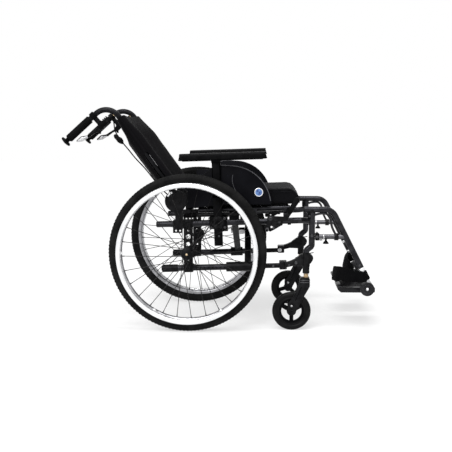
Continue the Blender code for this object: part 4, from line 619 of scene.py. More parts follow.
wheel = {"radius": 305, "rim": 268, "rimDepth": 14.5, "ribs": 132, "spokesInRow": 7, "spoke": 1.3,
         "lacing": radians(60), "spokePhase": radians(3.2), "handrim": 263, "handrimTube": 9.5, "handrimOut": 40,
         "tabs": 6}
hubCentre = Vector((0, wheelY, wheel["radius"]))
halfTyre = [(269, 10), (272.2, 12.8), (277.5, 15.8), (284.5, 17.9), (285.6, 17.9), (286.2, 18.3), (290.5, 18.3),
            (295, 17.2), (299.2, 14.6), (302, 11.2), (302.4, 9.8), (303.2, 9.4), (304.2, 6.2), (304.6, 3.8), (303.6, 3)]
addPair("tyreCarcass", lathe(both(halfTyre), hubCentre, side, 160), "tyreRubber", "wheel", "tyre")


def treadRib(mirror):
    # one rib over the shoulder, standing on the tyre at the wheel's front
    rings = []
    for r, a in ((304.6, 5), (303.6, 9.6), (301.8, 12.8), (298.8, 15.3), (295.2, 17.4)):
        low, high = r - 1.2, r + (1.3 if 296 < r < 304 else 0.5)
        rings.append([(radius, mirror * a, across)
                      for radius, across in ((low, -3), (high, -2.1), (high, 2.1), (low, 3))])
    return capped(rings)


ribs = [around(treadRib(mirror), wheel["ribs"], hubCentre, "tyreRubber", begin)
        for mirror, begin in ((1, 0.0), (-1, pi / wheel["ribs"]))]
addPair("treadRibs", ribs, "tyreRubber", "wheel", angle=30)

rimOut, rimIn = wheel["rim"] - 0.3, wheel["rim"] - wheel["rimDepth"]
halfRim = [(rimOut, 9.2), (rimOut + 3, 10), (rimOut + 3.4, 11.4), (rimOut, 11.5), (rimIn + 7.5, 11.2),
           (rimIn + 4.5, 9.8), (rimIn + 1.2, 6), (rimIn, 2.5)]
addPair("rimHoop", lathe(both(halfRim), hubCentre, side, 160), "rimMetal", "wheel", "spoked_wheel")
halfHub = [(7.2, 33.5), (11.5, 33.8), (12.5, 32.5), (13, 30.5), (22.5, 30.2), (23.8, 29.2), (24, 27.5), (23.2, 26.2),
           (20, 25.5), (15, 21.5), (14, 18), (13.6, 8)]
addPair("hubShell", lathe(both(halfHub), hubCentre, side, 56), "blackMetal", "wheel")

spokes, nipples = [], []
for flange in (1, -1):
    for lean in (1, -1):
        hubAngle = lean * wheel["lacing"]
        first = Vector((21.3 * cos(hubAngle), flange * (28 + lean * 1.4), 21.3 * sin(hubAngle)))
        last = Vector((rimIn + 3, flange * 3, 0))
        line = last - first
        begin = -(2 * pi / 28) * ((0 if flange < 0 else 1) + (2 if lean > 0 else 0)) - wheel["spokePhase"]
        spoke = tube([first, first + line * 0.03, last], wheel["spoke"], 8, 0)
        spokes.append(around(spoke, wheel["spokesInRow"], hubCentre, "spokeSteel", begin))
        line.normalize()
        nipple = tube([last - line * 13, last - line * 2], [1.6, 2.1], 8, 0.4)
        nipples.append(around(nipple, wheel["spokesInRow"], hubCentre, "spokeSteel", begin))
addPair("spokes", spokes, "spokeSteel", "wheel")
addPair("spokeNipples", nipples, "blackMetal", "wheel")

handrimCentre = hubCentre + side * wheel["handrimOut"]
hoop = [(wheel["handrim"] + wheel["handrimTube"] * cos(t), wheel["handrimTube"] * sin(t)) for t in turns(20)]
tabX = wheel["handrim"] - 4
tab = together([tube([(tabX, -28.2, 0), (tabX + 0.5, -18, 0), (tabX + 3, -4, 0)], [4.6, 3.6, 3.6], 14),
                lathe([(0, -28.4), (7, -28.4), (7, -27), (5.2, -25.8), (0, -25.8)], (tabX, 0, 0), side, 20)])
addPair("handrimHoop", [lathe(hoop, handrimCentre, side, 160),
                        around(tab, wheel["tabs"], handrimCentre, "brightMetal")],
        "brightMetal", "wheel", "handrim")
axleShape = [(0, 41.8), (6.8, 41.8), (7.6, 41.1), (8, 39.9), (18, 39.5), (20.2, 38.5), (21.2, 37.1), (21.2, 34.7),
             (20.8, 34.3), (6.4, 34.3), (6.4, -66), (0, -66)]
addPair("axleCap", lathe(axleShape, hubCentre, side, 56), "blackMetal", "frame", "wheel_axle")
buttonShape = [(0, 44.1), (2.2, 44.1), (2.8, 43.5), (3.8, 43.1), (4.3, 42.3), (4.3, 41.1), (0, 41.1)]
addPair("axleButton", lathe(buttonShape, hubCentre, side, 32), "brass", "frame")
print("driving wheels ready")

# ---- side frames

upperPath = bendPath([onSlope(-125.5, tubeY, upperLevel), onSlope(444, tubeY, upperLevel),
                      onSlope(478, postY, upperLevel)], 20)
postPath = bendPath([(478, postY, 460), (478, postY, 330), (457, postY, 313.5), (457, postY, 304.5)], 14, 6)
upperParts = [tube(upperPath, 12, 28), tube(postPath, 12, 28),
              bar((478, postY, 460.5), (478, postY, 448), 13.2, 28, 0.8),
              sloped((200.5, 196.2, upperLevel), (216, 208.2, 449.7))]
for x in (255, 379):
    upperParts += [sloped((x - 10, low, bottom), (x + 10, high, top), soften) for low, high, bottom, top, soften in
                   ((170, 200, 414.7, 447.5, 2), (170, 173.3, 440, 462.2, 1), (196.7, 200, 440, 462.2, 1))]
addPair("railRest", sloped((157, 180, 417), (196, 206, 449), 3, 3), "blackPlastic", "frame")
addPair("upperFrame", upperParts, "framePaint", "frame", "upper_frame")


def lowerPoint(x, y=tubeY):
    return onSlope(x, y, lowerLevel)


addPair("lowerTube", bar(lowerPoint(-102), lowerPoint(300), 12, 28), "framePaint", "frame", "lower_tube")
addPair("tubeSleeve", bar(lowerPoint(-106), lowerPoint(-45), 15, 28, 1.2), "blackMetal", "frame")
# row of adjusting holes, end plugs and small bolts on the tubes
hole = lathe([(0, 0), (2.4, 0), (2.8, 0.4), (2.8, 0.8), (1.2, 0.8), (0.8, 0.2), (0, 0.2)], (0, 0, 0), side, 14)
hole.transform(Matrix.Rotation(pi / 2, 4, "Z"))
addPair("tubeHoles", alongLine([lowerPoint(30, 216.8), lowerPoint(140, 216.8)], hole, 8, "blackPlastic"),
        "blackPlastic", "frame")
plugShape = [(0, 3), (9, 3), (11.2, 1.5), (11.6, -0.5), (0, -0.5)]
plugs = [lathe(plugShape, spot, -alongSeat, 28) for spot in (onSlope(-125.8, tubeY, upperLevel), lowerPoint(-106.3))]
addPair("tubePlugs", [*plugs, sloped((385.5, 201, 394.8), (398.5, 209, 399.5), 1)], "blackPlastic", "frame")
addPair("frameBolts", bolts((onSlope(250, 217, upperLevel), 4.2, 3), (lowerPoint(330, 217), 3.6, 2.8),
                            ((468, 257.5, 447), 3, 2.6)), "darkSteel", "frame")
print("side frames ready")

# ---- axle plates, recline hinges and gas springs

plateShape = [(-20, 226.9), (-18.5, 222.5), (-14, 220.9), (10, 220.9), (14.5, 222.5), (16, 226.9), (16, 420.7),
              (14.5, 423.7), (12, 424.7), (-16, 424.7), (-18.5, 423.7), (-20, 420.7)]
plateHoles = [ring(-2, level, radius) for level, radius in ((330, 9.2), (361, 9.2), (384.5, 3.6), (270, 3.6))]
ribbing = [block((-19.5 + 6 * k, 222.4, 400), (-16.8 + 6 * k, 223.6, 420), 0.5, 1) for k in range(6)]
boss = lathe([(7, 219), (17.5, 219), (16.5, 229), (16, 244), (15.2, 245.4), (7, 245.4)], (0, 0, 305), side, 40)
addPair("axlePlate", [sheetMetal(plateShape, 217.8, 222.8, plateHoles), boss,
                      *tubeClamp(sloped, -20, 16, upperLevel, 218.8),
                      *tubeClamp(sloped, -20, 16, lowerLevel, 218.8), *ribbing], "clampMetal", "frame", "axle_plate")
addPair("axleBolts", bolts((onSlope(-2, 222.6, upperLevel) - up * 3, 5.2, 4), (lowerPoint(-2, 222.6), 5.2, 4),
                           ((-2, 222.6, 285), 3.6, 3)), "blackMetal", "frame")

footTop = onSlope(-62, 0, upperLevel).z + 14
bracketShape = [(-21, footTop - 32), (-21, 464), *arc(-50, 500, 43, -45, 118, 20), *arc(-50, 500, 43, 142, 250, 18),
                (-53, 452), (-53, footTop), (-62, footTop), (-62, footTop - 48), (-24, footTop - 48),
                (-24, footTop - 32)]
bracketHoles = [ring(-50, footTop - 39, 3.6, 20), ring(-34, footTop - 39, 3.6, 20), ring(-50, 532, 3.5, 20)]
ribbing = [block((-60 + 7.5 * k, 221.6, 400), (-56.5 + 7.5 * k, 223, 424), 0.5, 1) for k in range(5)]
stud = lathe([(0, 207.4), (6, 207.4), (6, 219), (14, 221.6), (14, 223.2), (12, 224), (0, 224)], pivot, side, 36)
addPair("reclineBracket", [sheetMetal(bracketShape, 217.8, 221.8, bracketHoles), stud,
                           *tubeClamp(sloped, -62, -21, upperLevel, 218.8), *ribbing], "blackMetal", "frame",
        "recline_bracket")
hookShape = [*arc(-50, 500, 40.5, 112, 150, 8), *reversed(arc(-50, 500, 33.5, 112, 150, 8))]
addPair("reclineHook", [sheetMetal(hookShape, 221.9, 224, soften=0.5),
                        sheetMetal(ring(-73.5, 533, 5.2, 20), 221.9, 225, soften=0.5)], "brightMetal", "frame")
addPair("reclineBolts", bolts(((-50, 223.6, 500), 9, 3.5), ((-41.5, 221.6, 413), 4, 3)), "blackMetal", "frame")

gas = {"y": 202.2, "rear": 30}
gasRear, eye = (Vector((x, gas["y"], gasLevel(x))) for x in (gas["rear"], lobePin.x))
cylinder = [(0, 70), (4.8, 70), (4.8, 0), (6.6, 0), (7.6, 1), (8, 2.8), (8, 4), (7.6, 4.8), (7.8, 5.6), (7.9, 160),
            (7.2, 165.5), (5, 170), (0, 170)]
addPair("gasCylinder", lathe(cylinder, gasRear, alongSeat, 32), "blackMetal", "frame", "gas_spring")
eyeRing = lathe(both([(4.6, 3), (7.4, 3.3), (8, 2.6)]), eye, side, 32)
addPair("gasRod", [bar(eye + alongSeat * 6.5, gasRear + alongSeat * 60, 3.9, 20), eyeRing],
        "steel", "gas_rod", "gas_rod")
bellows = [(4.6, 0), (4.6, 50)]
for k in range(9):
    bellows += [(10, 49.5 - 5.5 * k), (11.8, 47.5 - 5.5 * k), (10, 45.5 - 5.5 * k)]
addPair("rodBellows", lathe(bellows, gasRear - alongSeat * 50.5, alongSeat, 32), "softPlastic", "frame")
print("hinges ready")

# ---- back canes, push handles and release levers

canePath = bendPath([canePoint(0), handlePoint(0), caneEnd + side * caneY], 60, 18)
footShape = linkShape(flat(pivot), 30, flat(lobePin), 10)
footPlate = sheetMetal(footShape, 207.2, 217.2, [ring(-50, 500, 6.7, 24)], 0.8)
pin = bar((lobePin.x, 198.2, lobePin.z), (lobePin.x, 208.5, lobePin.z), 3, 16)
# the canes wear the frame paint made darker, as painted shade
addPair("backCane", [tube(canePath, 11, 28), footPlate, pin], "shadedFramePaint", "back", "back_cane")

gripStart = 98
gripInside = (caneEnd - caneCorner).length - gripStart + 1
gripShape = [(0, gripInside), (11.5, gripInside), (11.5, 0), (14, 0), (15.6, 0.8), (16, 2.5)]
for at in (6 + 4.7 * k for k in range(22)):
    gripShape += [(16, at), (15.3, at + 0.6), (15.3, at + 1.4), (16, at + 2)]
gripShape += [(16, 110.5), (14.5, 113), (10.4, 115.5), (9, 118.5), (9.2, 122.5), (13, 125.2), (20, 126.2),
              (21.2, 127.5), (21.4, 130.6), (20.4, 132.8), (13, 135.2), (0, 135.5)]
addPair("pushGrip", lathe(gripShape, handlePoint(gripStart), handleLine, 40), "softPlastic", "back", "grip")


def handleShape(along, below, *points):
    return [flat(handlePoint(along + a, below + b)) for a, b in points]


collar = lathe([(11.5, 0), (15.2, 0), (16.5, 1.5), (16.5, 16.5), (15.2, 18), (11.5, 18)],
               handlePoint(71), handleLine, 40)
cheekShape = handleShape(0, 0, (88.5, 13.5), (88.5, 36), (92, 41.5), (100, 42.5), (107.5, 45.5), (110, 51), (108.5, 59),
                         (106, 62.5), (42, 60), (38, 56.5), (38, 42), (40, 39), (66, 36.5), (70, 33), (71.5, 29),
                         (71.5, 13.5))
webShape = handleShape(0, 0, (87.5, 14), (89.5, 42.5), (90.5, 61.5), (39, 58.5), (39, 43), (67, 38), (72.5, 30),
                       (72.5, 14))
leverRoot = (98, 54)
housing = [collar, sheetMetal(cheekShape, 207.7, 211.7, soften=1.2), sheetMetal(cheekShape, 191.3, 195.3, soften=1.2),
           sheetMetal(webShape, 194.3, 208.7), bar(handlePoint(*leverRoot, 193), handlePoint(*leverRoot, 210), 3, 16),
           tube([handlePoint(40, 51), handlePoint(26, 50), handlePoint(18, 49)], [7.2, 6.4, 4.6], 18),
           tube([handlePoint(104, 60), handlePoint(105, 69)], [4.5, 4], 14)]
housing += [tube([handlePoint(a, 40), handlePoint(a, 32.5)], 2.6, 12) for a in (45, 53, 61)]  # small studs on top
addPair("leverHousing", housing, "blackPlastic", "back", "lever_housing")
adjuster = [(0, 0), (5.2, 0), (5.6, 0.6), (5.6, 4.2), (4.8, 5), (3.4, 5.6), (3.4, 9.5), (3, 9.8), (0, 9.8)]
addPair("cableAdjuster", lathe(adjuster, handlePoint(19, 50), -handleLine, 24), "brass", "back")
addPair("housingScrews", bolts(*[(handlePoint(a, b, 211.5), 2.8, 2) for a, b in (leverRoot, (52, 52), (80, 30))]),
        "blackMetal", "back")
bladeShape = handleShape(*leverRoot, (50, -11.8), (53.4, -13.2), (73.1, -26.2), (95, -26.2), (98.2, -25.4),
                         (98.8, -23.6), (79.2, -10), (59.4, -6.5), (50, -6))
addPair("releaseLever", sheetMetal(bladeShape, 199, 206.4, soften=1.6), "steel", "lever", "handle_lever")
leverEdge = atY(caneY, *handleShape(*leverRoot, (48, -10.5), (54, -12.8), (73.5, -25.6), (97, -25.4)))
addPair("leverEdge", tube(leverEdge, 3.6, 14), "framePaint", "lever")
armShape = handleShape(*leverRoot, (-5.8, 3), (-6.4, 0), (-5.8, -3.5), (-3, -6), (1, -6.6), (24, -10.5), (50, -15),
                       (53, -13), (54.5, -7), (52.5, -4.5), (24, -2), (6, 5), (1, 6.6), (-3, 5.8))
leverHole = ring(*flat(handlePoint(*leverRoot)), 3.4, 16)
addPair("leverArm", sheetMetal(armShape, 196.2, 206.8, [leverHole], 1.8), "blackPlastic", "lever")
print("handles ready")

# ---- armrests and side guards

armX, armY = 115, 227.75
armPlace = Matrix.Translation(onSlope(armX, 0, upperLevel)) @ Matrix.Rotation(-slope, 4, "Y")


def armBlock(low, high, soften=1.5, segments=2):
    mesh = block(low, high, soften, segments)
    mesh.transform(armPlace)
    return mesh


halfWide, halfThick, postTop = 16.5, 6.75, 234.5
postParts = [armBlock((-halfWide, armY - halfThick, -88), (halfWide, armY + halfThick, 109.5), 2.2)]
for rear, front, low, high in ((-halfWide, -12.5, -halfThick, halfThick), (12.5, halfWide, -halfThick, halfThick),
                               (-halfWide, halfWide, -halfThick, -4), (-halfWide, halfWide, 4, halfThick)):
    postParts.append(armBlock((rear, armY + low, 100), (front, armY + high, postTop), 0.9))
postParts += [*tubeClamp(armBlock, -33, 33, 0, 220, 12.7, 3.5, 1), armBlock((-34, 218, -22), (34, 237.5, 26), 4, 3)]
addPair("armrestPost", postParts, "blackPlastic", "frame", "armrest_post")
dialCentre = armPlace @ Vector((0, 235.2, 2))
dial = lathe([(0, -4), (25, -4), (25.2, 1.5), (23.5, 2.8), (12, 3.2), (10.5, 2.2), (0, 2.2)], dialCentre, side, 60)
tooth = block((23.5, -2.2, -2.4), (26.8, 2.2, 2.4), 0.6, 1)
addPair("clampDial", [dial, around(tooth, 30, dialCentre, "clampMetal")], "clampMetal", "frame")
addPair("clampBolts", bolts(*[(armPlace @ Vector(spot), r, h) for spot, r, h in (
    ((-27, 237.5, -16), 3.6, 2.8), ((27, 237.5, -16), 3.6, 2.8), ((27, 237.5, 19), 3.6, 2.8), ((2, 234.7, -50), 3, 2.2),
    ((0, 234.7, 118), 3, 2.2))]), "darkSteel", "frame")

pad = {"rear": -140, "front": 194.5, "width": 50, "thick": 27, "y": 237, "bottom": postTop + 11.8,
       "rows": 44, "sides": 20}


def padMesh():
    # a moulded pad: crowned, with rounded ends that slope a little
    rings = []
    for t in (i / pad["rows"] for i in range(pad["rows"] + 1)):
        x = pad["rear"] + (pad["front"] - pad["rear"]) * (0.5 - 0.5 * cos(pi * t))
        ends = min(1, sin(pi * t) * 4.5) ** 0.35 if 0 < t < 1 else 0.3
        section = []
        for a in turns(pad["sides"], pi / pad["sides"]):
            c, s = boxed(cos(a), 0.42), boxed(sin(a), 0.42)
            crown = 0.7 * (1 - c * c) if s > 0 else 0
            lean = -3.5 * s * (1 if t > 0.5 else -1) * max(0, abs(2 * t - 1) - 0.93) / 0.07
            height = pad["thick"] / 2 + (s * pad["thick"] / 2 - 0.4) * (0.8 + 0.2 * ends) + crown
            section.append((x + lean, pad["y"] + c * pad["width"] / 2 * (0.94 + 0.06 * ends), pad["bottom"] + height))
        rings.append(section)
    mesh = capped(rings)
    mesh.transform(armPlace)
    return mesh


for piece in addPair("armrestPad", padMesh(), "softPlastic", "armrest", "armrest_pad", 60):
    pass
padY, padBottom = pad["y"], pad["bottom"]
addPair("armrestCarrier", [
    armBlock((-128, padY - 19, padBottom - 2.2), (182, padY + 19, padBottom + 2), 0.8),
    armBlock((-18.5, armY - halfThick, postTop + 0.5), (18.5, armY + halfThick + 2, padBottom + 2), 1.8, 3),
    armBlock((-12, armY - 3.5, postTop - 125), (12, armY + 3.5, postTop + 4), 0.8)], "blackPlastic", "armrest")

guardArc = arc(165, 482, 158, 86, 8, 36)
guardTop = [(38, 600), (48, 601.2), (57, 604), (70, 614.5), (84.5, 627), (100, 634.5), (116, 638.5), (140, 639.8)]
guardShape = [(-4, 474), (60, 478), (150, 487), (316.5, 488), (321.5, 491.5), (322.5, 497), *reversed(guardArc),
              *reversed(guardTop), (-4, 600)]
addPair("sideGuard", sheetMetal(guardShape, 216.5, 220.5, soften=1), "guardPlastic", "frame", "side_guard")
# the piping along the guard's top and front edge, its pale tone painted highlight, and a pale raised line that is
# painted highlight standing for the inner groove
pipingLine = atY(221.2, *guardTop[5:], *[(x - 3, z - 2.2) for x, z in guardArc[1:]])
grooveHighlightLine = atY(220.8, (172, 603), (170, 590), (170.5, 576), (176, 556), (185, 540), (198, 526))
addPair("guardPiping", [tube(smoothPath(pipingLine, 4), 1.6, 10), tube(smoothPath(grooveHighlightLine, 4), 0.9, 8)],
        "pipingHighlight", "frame")
badgeAt = (272.5, 0, 535.5)
addPair("guardBadgeRing", lathe([(13, 220.3), (16.8, 220.3), (16.8, 221.4), (15.8, 222), (13.6, 221.8)], badgeAt, side),
        "brightMetal", "frame")
addPair("guardBadge", lathe([(0, 220.2), (13.8, 220.2), (13.8, 221.2), (9, 221.7), (0, 221.9)], badgeAt, side),
        "badge", "frame")
print("armrests ready")

# ---- castors

stem, axleSpot = Vector((457, postY, 0)), Vector((402, postY, 75))
housingShape = [(0, 304), (12.8, 304), (14.6, 302.8), (14.8, 300.5), (14.8, 253), (14.2, 250.8), (13.4, 249.5),
                (13.4, 238.5), (12.8, 237.8), (12.8, 236.2), (13.4, 235.5), (13.4, 225), (12.4, 223.5), (7.2, 223.5),
                (7.2, 276), (0, 276)]
gussetShape = [(376, 245), (408, 253), (441, 252), (466, 257), (475.5, 264), (481.5, 273), (484.5, 282),
               (483.8, 288.5), (479.5, 294.5), (470, 303), (456, 303), (439, 298), (426, 289), (413, 278.6),
               (396, 270.5), (376, 264.5)]
addPair("castorArm", [lathe(housingShape, stem, up, 40), sloped((354, 190.5, 223.9), (383, 241, 254.9), 3.5, 3),
                      sheetMetal(gussetShape, 227, 253, soften=2.5), bar(lowerPoint(281), lowerPoint(358), 9.7, 24)],
        "blackMetal", "frame", "castor_arm")
addPair("armRingBolt", bolt((363, 186.2, 250), -side, 6.4, 3.5), "steel", "frame")
addPair("castorArmBolts", bolts(((418, 253, 265.5), 4.2, 3), ((392, 253, 256), 3.2, 2.5)), "darkSteel", "frame")
addPair("gussetPin", bar((470, 240, 301), (486, 240, 304), 1.8, 10), "blackMetal", "frame")

legShape = [(433.5, 204.7), (430.4, 182.5), (427.2, 172.5), (421.8, 162.7), (412, 144), (402.5, 125.9), (395, 116.5),
            (389.3, 108.9), (387.2, 103.5), (386.6, 97.6), *arc(402, 75, 14.5, 180, 340, 16), (421.8, 80.6),
            (433, 102.5), (444.3, 125.9), (458, 150), (471.4, 174), (472, 179), (471.4, 204.7)]
ridge = [(437.4, 173.5), (414.5, 120), (417.5, 119), (418.5, 120), (441.4, 173.5), (440.2, 174.8)]


def bothLegs(shape, low, high, soften):
    return [sheetMetal(shape, postY + a, postY + b, soften=soften) for a, b in ((low, high), (-high, -low))]


addPair("castorFork", [*bothLegs(legShape, 16.5, 20.5, 0.9), block((434.3, 225.1, 182.5), (470.6, 264.9, 204.2), 2),
                       block((435, 226, 203), (470, 264, 207.7))], "blackMetal", "swivel", "castor_fork")
# raised bands around the fork crown, in a lighter steel as painted highlight along its bevel lines
addPair("forkBands", [block((432.6, 223.6, low), (472.3, 266.4, low + 2.5), 0.8, 1) for low in (189.3, 197.5)],
        "darkSteel", "swivel")
addPair("forkRibs", bothLegs(ridge, 20.3, 21.6, 0.4), "blackPlastic", "swivel")
stemShape = [(0, 272), (6, 272), (6, 220.5), (9.2, 220), (9.5, 219), (9.5, 215.5), (8, 215), (8, 213.8), (9.8, 213.2),
             (10, 208.5), (9.6, 206), (0, 205)]
addPair("castorStem", lathe(stemShape, stem, up, 32), "brass", "swivel")
outwards = (side, -side)
addPair("forkBolts", [*[bolt(axleSpot + out * 20.5, out, 5.6, 3.6) for out in outwards],
                      bar(axleSpot - side * 20, axleSpot + side * 20, 4, 16)], "blackMetal", "swivel")
addPair("forkScrew", [bolt(axleSpot + out * 20.5 + up * 23, out, 3, 2.2) for out in outwards], "steel", "swivel")

castor = {"core": 49, "window": 39.5, "spoke": 15.5, "hub": 18.5, "turned": {"left": 18, "right": 90}}
halfCastor = [(castor["core"], 10.5), (53, 10.8), (54.5, 9.8), (55.6, 10), (57, 11.6), (62, 12.8), (66.8, 12.6),
              (70.5, 11.2), (73.3, 8.2), (74.7, 4.5), (75, 1.5)]
outer, inner = (60 - degrees(asin(castor["spoke"] / 2 / castor[at])) for at in ("window", "hub"))
for end, sign in (("left", 1), ("right", -1)):
    centre = Vector((402, sign * postY, 75))
    addPiece(f"castorTyre_{end}", lathe(both(halfCastor), centre, side, 96), "castorRubber", f"castor_{end}",
             [f"castor_wheel_{end}"])
    middles = [castor["turned"][end] + 120 * k for k in range(3)]
    windows = [arc(402, 75, castor["window"], m - outer, m + outer, 16)
               + arc(402, 75, castor["hub"], m + inner, m - inner, 8) for m in middles]
    web = sheetMetal(ring(402, 75, castor["core"] + 1, 72), centre.y - 7.5, centre.y + 7.5, windows, 1)
    lip = lathe(both([(40.5, 7), (42.5, 10), (48.5, 10.2), (49.5, 9)]), centre, side, 72)
    hub = lathe(both([(4.6, 15.8), (11.2, 15.8), (12.8, 14.5), (13.5, 8)]), centre, side, 40)
    addPiece(f"castorRim_{end}", [web, lip, hub], "blackPlastic", f"castor_{end}")
print("castors ready")

# ---- cross brace and seat rails


def bracePoint(x, y, above):
    return lowerPoint(x, y) + aboveSeat * (above - lowerLevel)


brace = {"wide": 26, "thick": 18, "left": (1, 180, 148, 200), "right": (-1, 231, 146, 284)}
for end in ("left", "right"):
    sign, x, begin, stop = brace[end]
    foot, top = bracePoint(x, sign * tubeY, lowerLevel), bracePoint(x, -sign * railY, railLevel)
    rise, reach = (top - foot).normalized(), (top - foot).length - 26
    corner = Vector((brace["wide"], reach, brace["thick"])) / 2
    arm = block(-corner, corner, 4, 3)
    arm.transform(Matrix.Translation((foot + top) / 2 + rise * 3)
                  @ Matrix((alongSeat, rise, alongSeat.cross(rise))).transposed().to_4x4())
    long = stop - begin
    sleeve = lathe([(12.8, 0), (17.8, 0), (19, 1.4), (19, long - 1.4), (17.8, long), (12.8, long)],
                   lowerPoint(begin, sign * tubeY), alongSeat, 36)
    addPiece(f"braceArm_{end}", [arm, sleeve], "blackMetal", f"brace_{end}", [f"cross_arm_{end}"])
    rail = bar(onSlope(35, -sign * railY, railLevel), onSlope(395, -sign * railY, railLevel), 11, 28, 2)
    addPiece(f"seatRail_{end}", rail, "framePaint", f"brace_{end}")
boltShape = [(0, 250.5), (10, 250.5), (11, 249.7), (11, 244.5), (6, 244.5), (6, 217.5), (12, 217.5), (12, 193.5),
             (6, 193.5), (6, 166.5), (11, 166.5), (11, 161.5), (10, 160.5), (0, 160.5)]
crossing = bracePoint(0, 0, lowerLevel + tubeY / (tubeY + railY) * (railLevel - lowerLevel))
addPiece("braceBolt", lathe(boltShape, crossing, alongSeat, 32), "steel", "brace_right", ["cross_bolt"])
print("cross brace ready")

# ---- brakes

brakePivot, elbow, handleTop = (318, 436), (376, 434), (419.5, 507)
brakeShape = [(306, 412), (310, 389), (313, 385.5), (318, 384), (334, 392), (350, 401.5), (366, 412), (366, 432.5),
              (336, 437), (330, 445), (328, 446), (312, 446), (307, 442), (306, 438)]
brakeHoles = [ring(323, 402, 4, 20), ring(345, 412, 3.6, 20)]
addPair("brakeBody", [sheetMetal(brakeShape, 231.8, 235.8, brakeHoles),
                      bar(*atY(234.8, brakePivot), *atY(242.5, brakePivot), 4.5, 20),
                      *tubeClamp(sloped, 316, 364, upperLevel, 232.5, 12.7, 3.5, 1),
                      sloped((316, 218.2, 395.2), (364, 232.5, 426.2))], "blackMetal", "frame", "brake_body")
addPair("brakeBolts", bolts(((318, 241.3, 436), 5.8, 3.5), ((352, 235.8, 422.5), 4, 3), ((330, 235.8, 399), 3.4, 2.6)),
        "darkSteel", "frame")
shoe = (318.5 * cos(radians(16.9)), 305 + 318.5 * sin(radians(16.9)))
lowY, highY = 236.3, 240.5
arms = [sheetMetal(linkShape(brakePivot, 10, end, radius), lowY + thin, highY - thin, [ring(*brakePivot, 4.9, 20)])
        for end, radius, thin in ((shoe, 8, 0), (elbow, 9, 0.1))]
arms.append(sheetMetal(linkShape(elbow, 8.8, handleTop, 8.5), lowY + 0.2, highY - 0.2))
addPair("brakeLever", [*arms, bar(*atY(lowY + 1, shoe), *atY(300, shoe), 6, 24)], "blackMetal", "brake", "brake_lever")
gripFrom = (0.6 * elbow[0] + 0.4 * handleTop[0], 0.6 * elbow[1] + 0.4 * handleTop[1])
addPair("brakeHandle", sheetMetal(linkShape(gripFrom, 10, handleTop, 11), lowY - 4, highY + 4, soften=3.4),
        "softPlastic", "brake")
shoeShape = [(0, 259), (6, 259), (6.6, 259.6), (6.6, 298.5), (5.6, 300), (0, 300)]
addPair("brakeShoe", lathe(shoeShape, *atY(0, shoe), side, 24), "rimMetal", "brake")
print("brakes ready")

# ---- hangers and footrests

hangerPath = bendPath([(448, postY, hangerLevel), (hangerCornerX, postY, hangerLevel), hangerFoot], 45, 16)
strutEnd = hangerCornerX + (hangerLevel - strutLevel) * hangerLine.x / -hangerLine.z
addPair("hangerTube", [tube(hangerPath, 11.5, 28, 1.5), bar((478, postY, hangerLevel), (478, postY, 424), 8, 20)],
        "framePaint", "hanger", "hanger")
# the strut wears the frame paint made lighter, as painted light
addPair("hangerStrut", bar((490.5, postY, strutLevel), (strutEnd, postY, strutLevel), 9.5, 24), "litStrutAndMarkPaint", "hanger")
guardPath = smoothPath(atY(postY, (485, 450), (500, 454.5), (520, 457), (534, 454.5), (543, 445), (549, 430),
                           (555, 405), (564, 385), (572, 372)), 5)
addPair("hangerRail", tube(guardPath, 4.5, 16), "framePaint", "hanger")


def bandShape(bore, waist, radius, ease, long, begin=0):
    return [(bore, begin), (waist, begin), (radius, begin + ease), (radius, long - ease), (waist, long), (bore, long)]


hangerCap = [(0, 0), (10, 0), (11.8, 1), (12.2, 3), (12.2, 6), (0, 6)]
addPair("hangerBrace", [lathe(hangerCap, (444.2, postY, hangerLevel), forward, 28),
                        bar((477.5, postY, 460), (477.5, postY, 472.5), 12.8, 28, 1),
                        lathe(bandShape(11.8, 13.4, 14, 0.8, 15.8), (564, postY, strutLevel), forward, 32)],
        "blackMetal", "hanger")
knobShape = [(0, 0), (4, 0), (4, -8), (5.2, -9.5), (11.2, -17.2), (11.6, -19.2), (10.4, -20.2), (0, -20.2)]
addPair("hangerCatch", [block((490.7, 234, 353), (506, 256, 381), 2.5, 3), bar((498, 234, 382), (498, 256, 382), 3, 14),
                        lathe(knobShape, (532, postY, 360), up, 28)], "blackPlastic", "hanger")
spring = [(507.2 + 10.5 * k / 60, postY + 8 * cos(pi * k / 6), 360 + 8 * sin(pi * k / 6)) for k in range(61)]
springCap = [(0, 0), (10.8, 0), (11.2, 1), (10.4, 4.6), (0, 4.6)]
addPair("catchSpring", [tube(spring, 0.9, 6, 0), lathe(springCap, (521.5, postY, strutLevel), forward, 24)],
        "steel", "hanger")
addPair("hangerBolts", bolts(((478, 257, 372), 4, 3), ((498.5, 256, strutLevel), 4, 3),
                             ((555, 254.5, strutLevel), 3.2, 2.4),
                             (hangerFoot - hangerLine * 12 + side * 11.3, 3.4, 2.6)), "darkSteel", "hanger")
farBand = lathe(bandShape(11.4, 12.8, 13.4, 1, 11), hangerFoot - hangerLine * 48, hangerLine, 32)
addPiece("hangerBand_left", farBand, "brightMetal", "hanger_left")
addPair("postClamp", block((461, 232.5, 437.5), (473, 257.5, 460.2), 3, 3), "blackPlastic", "frame")

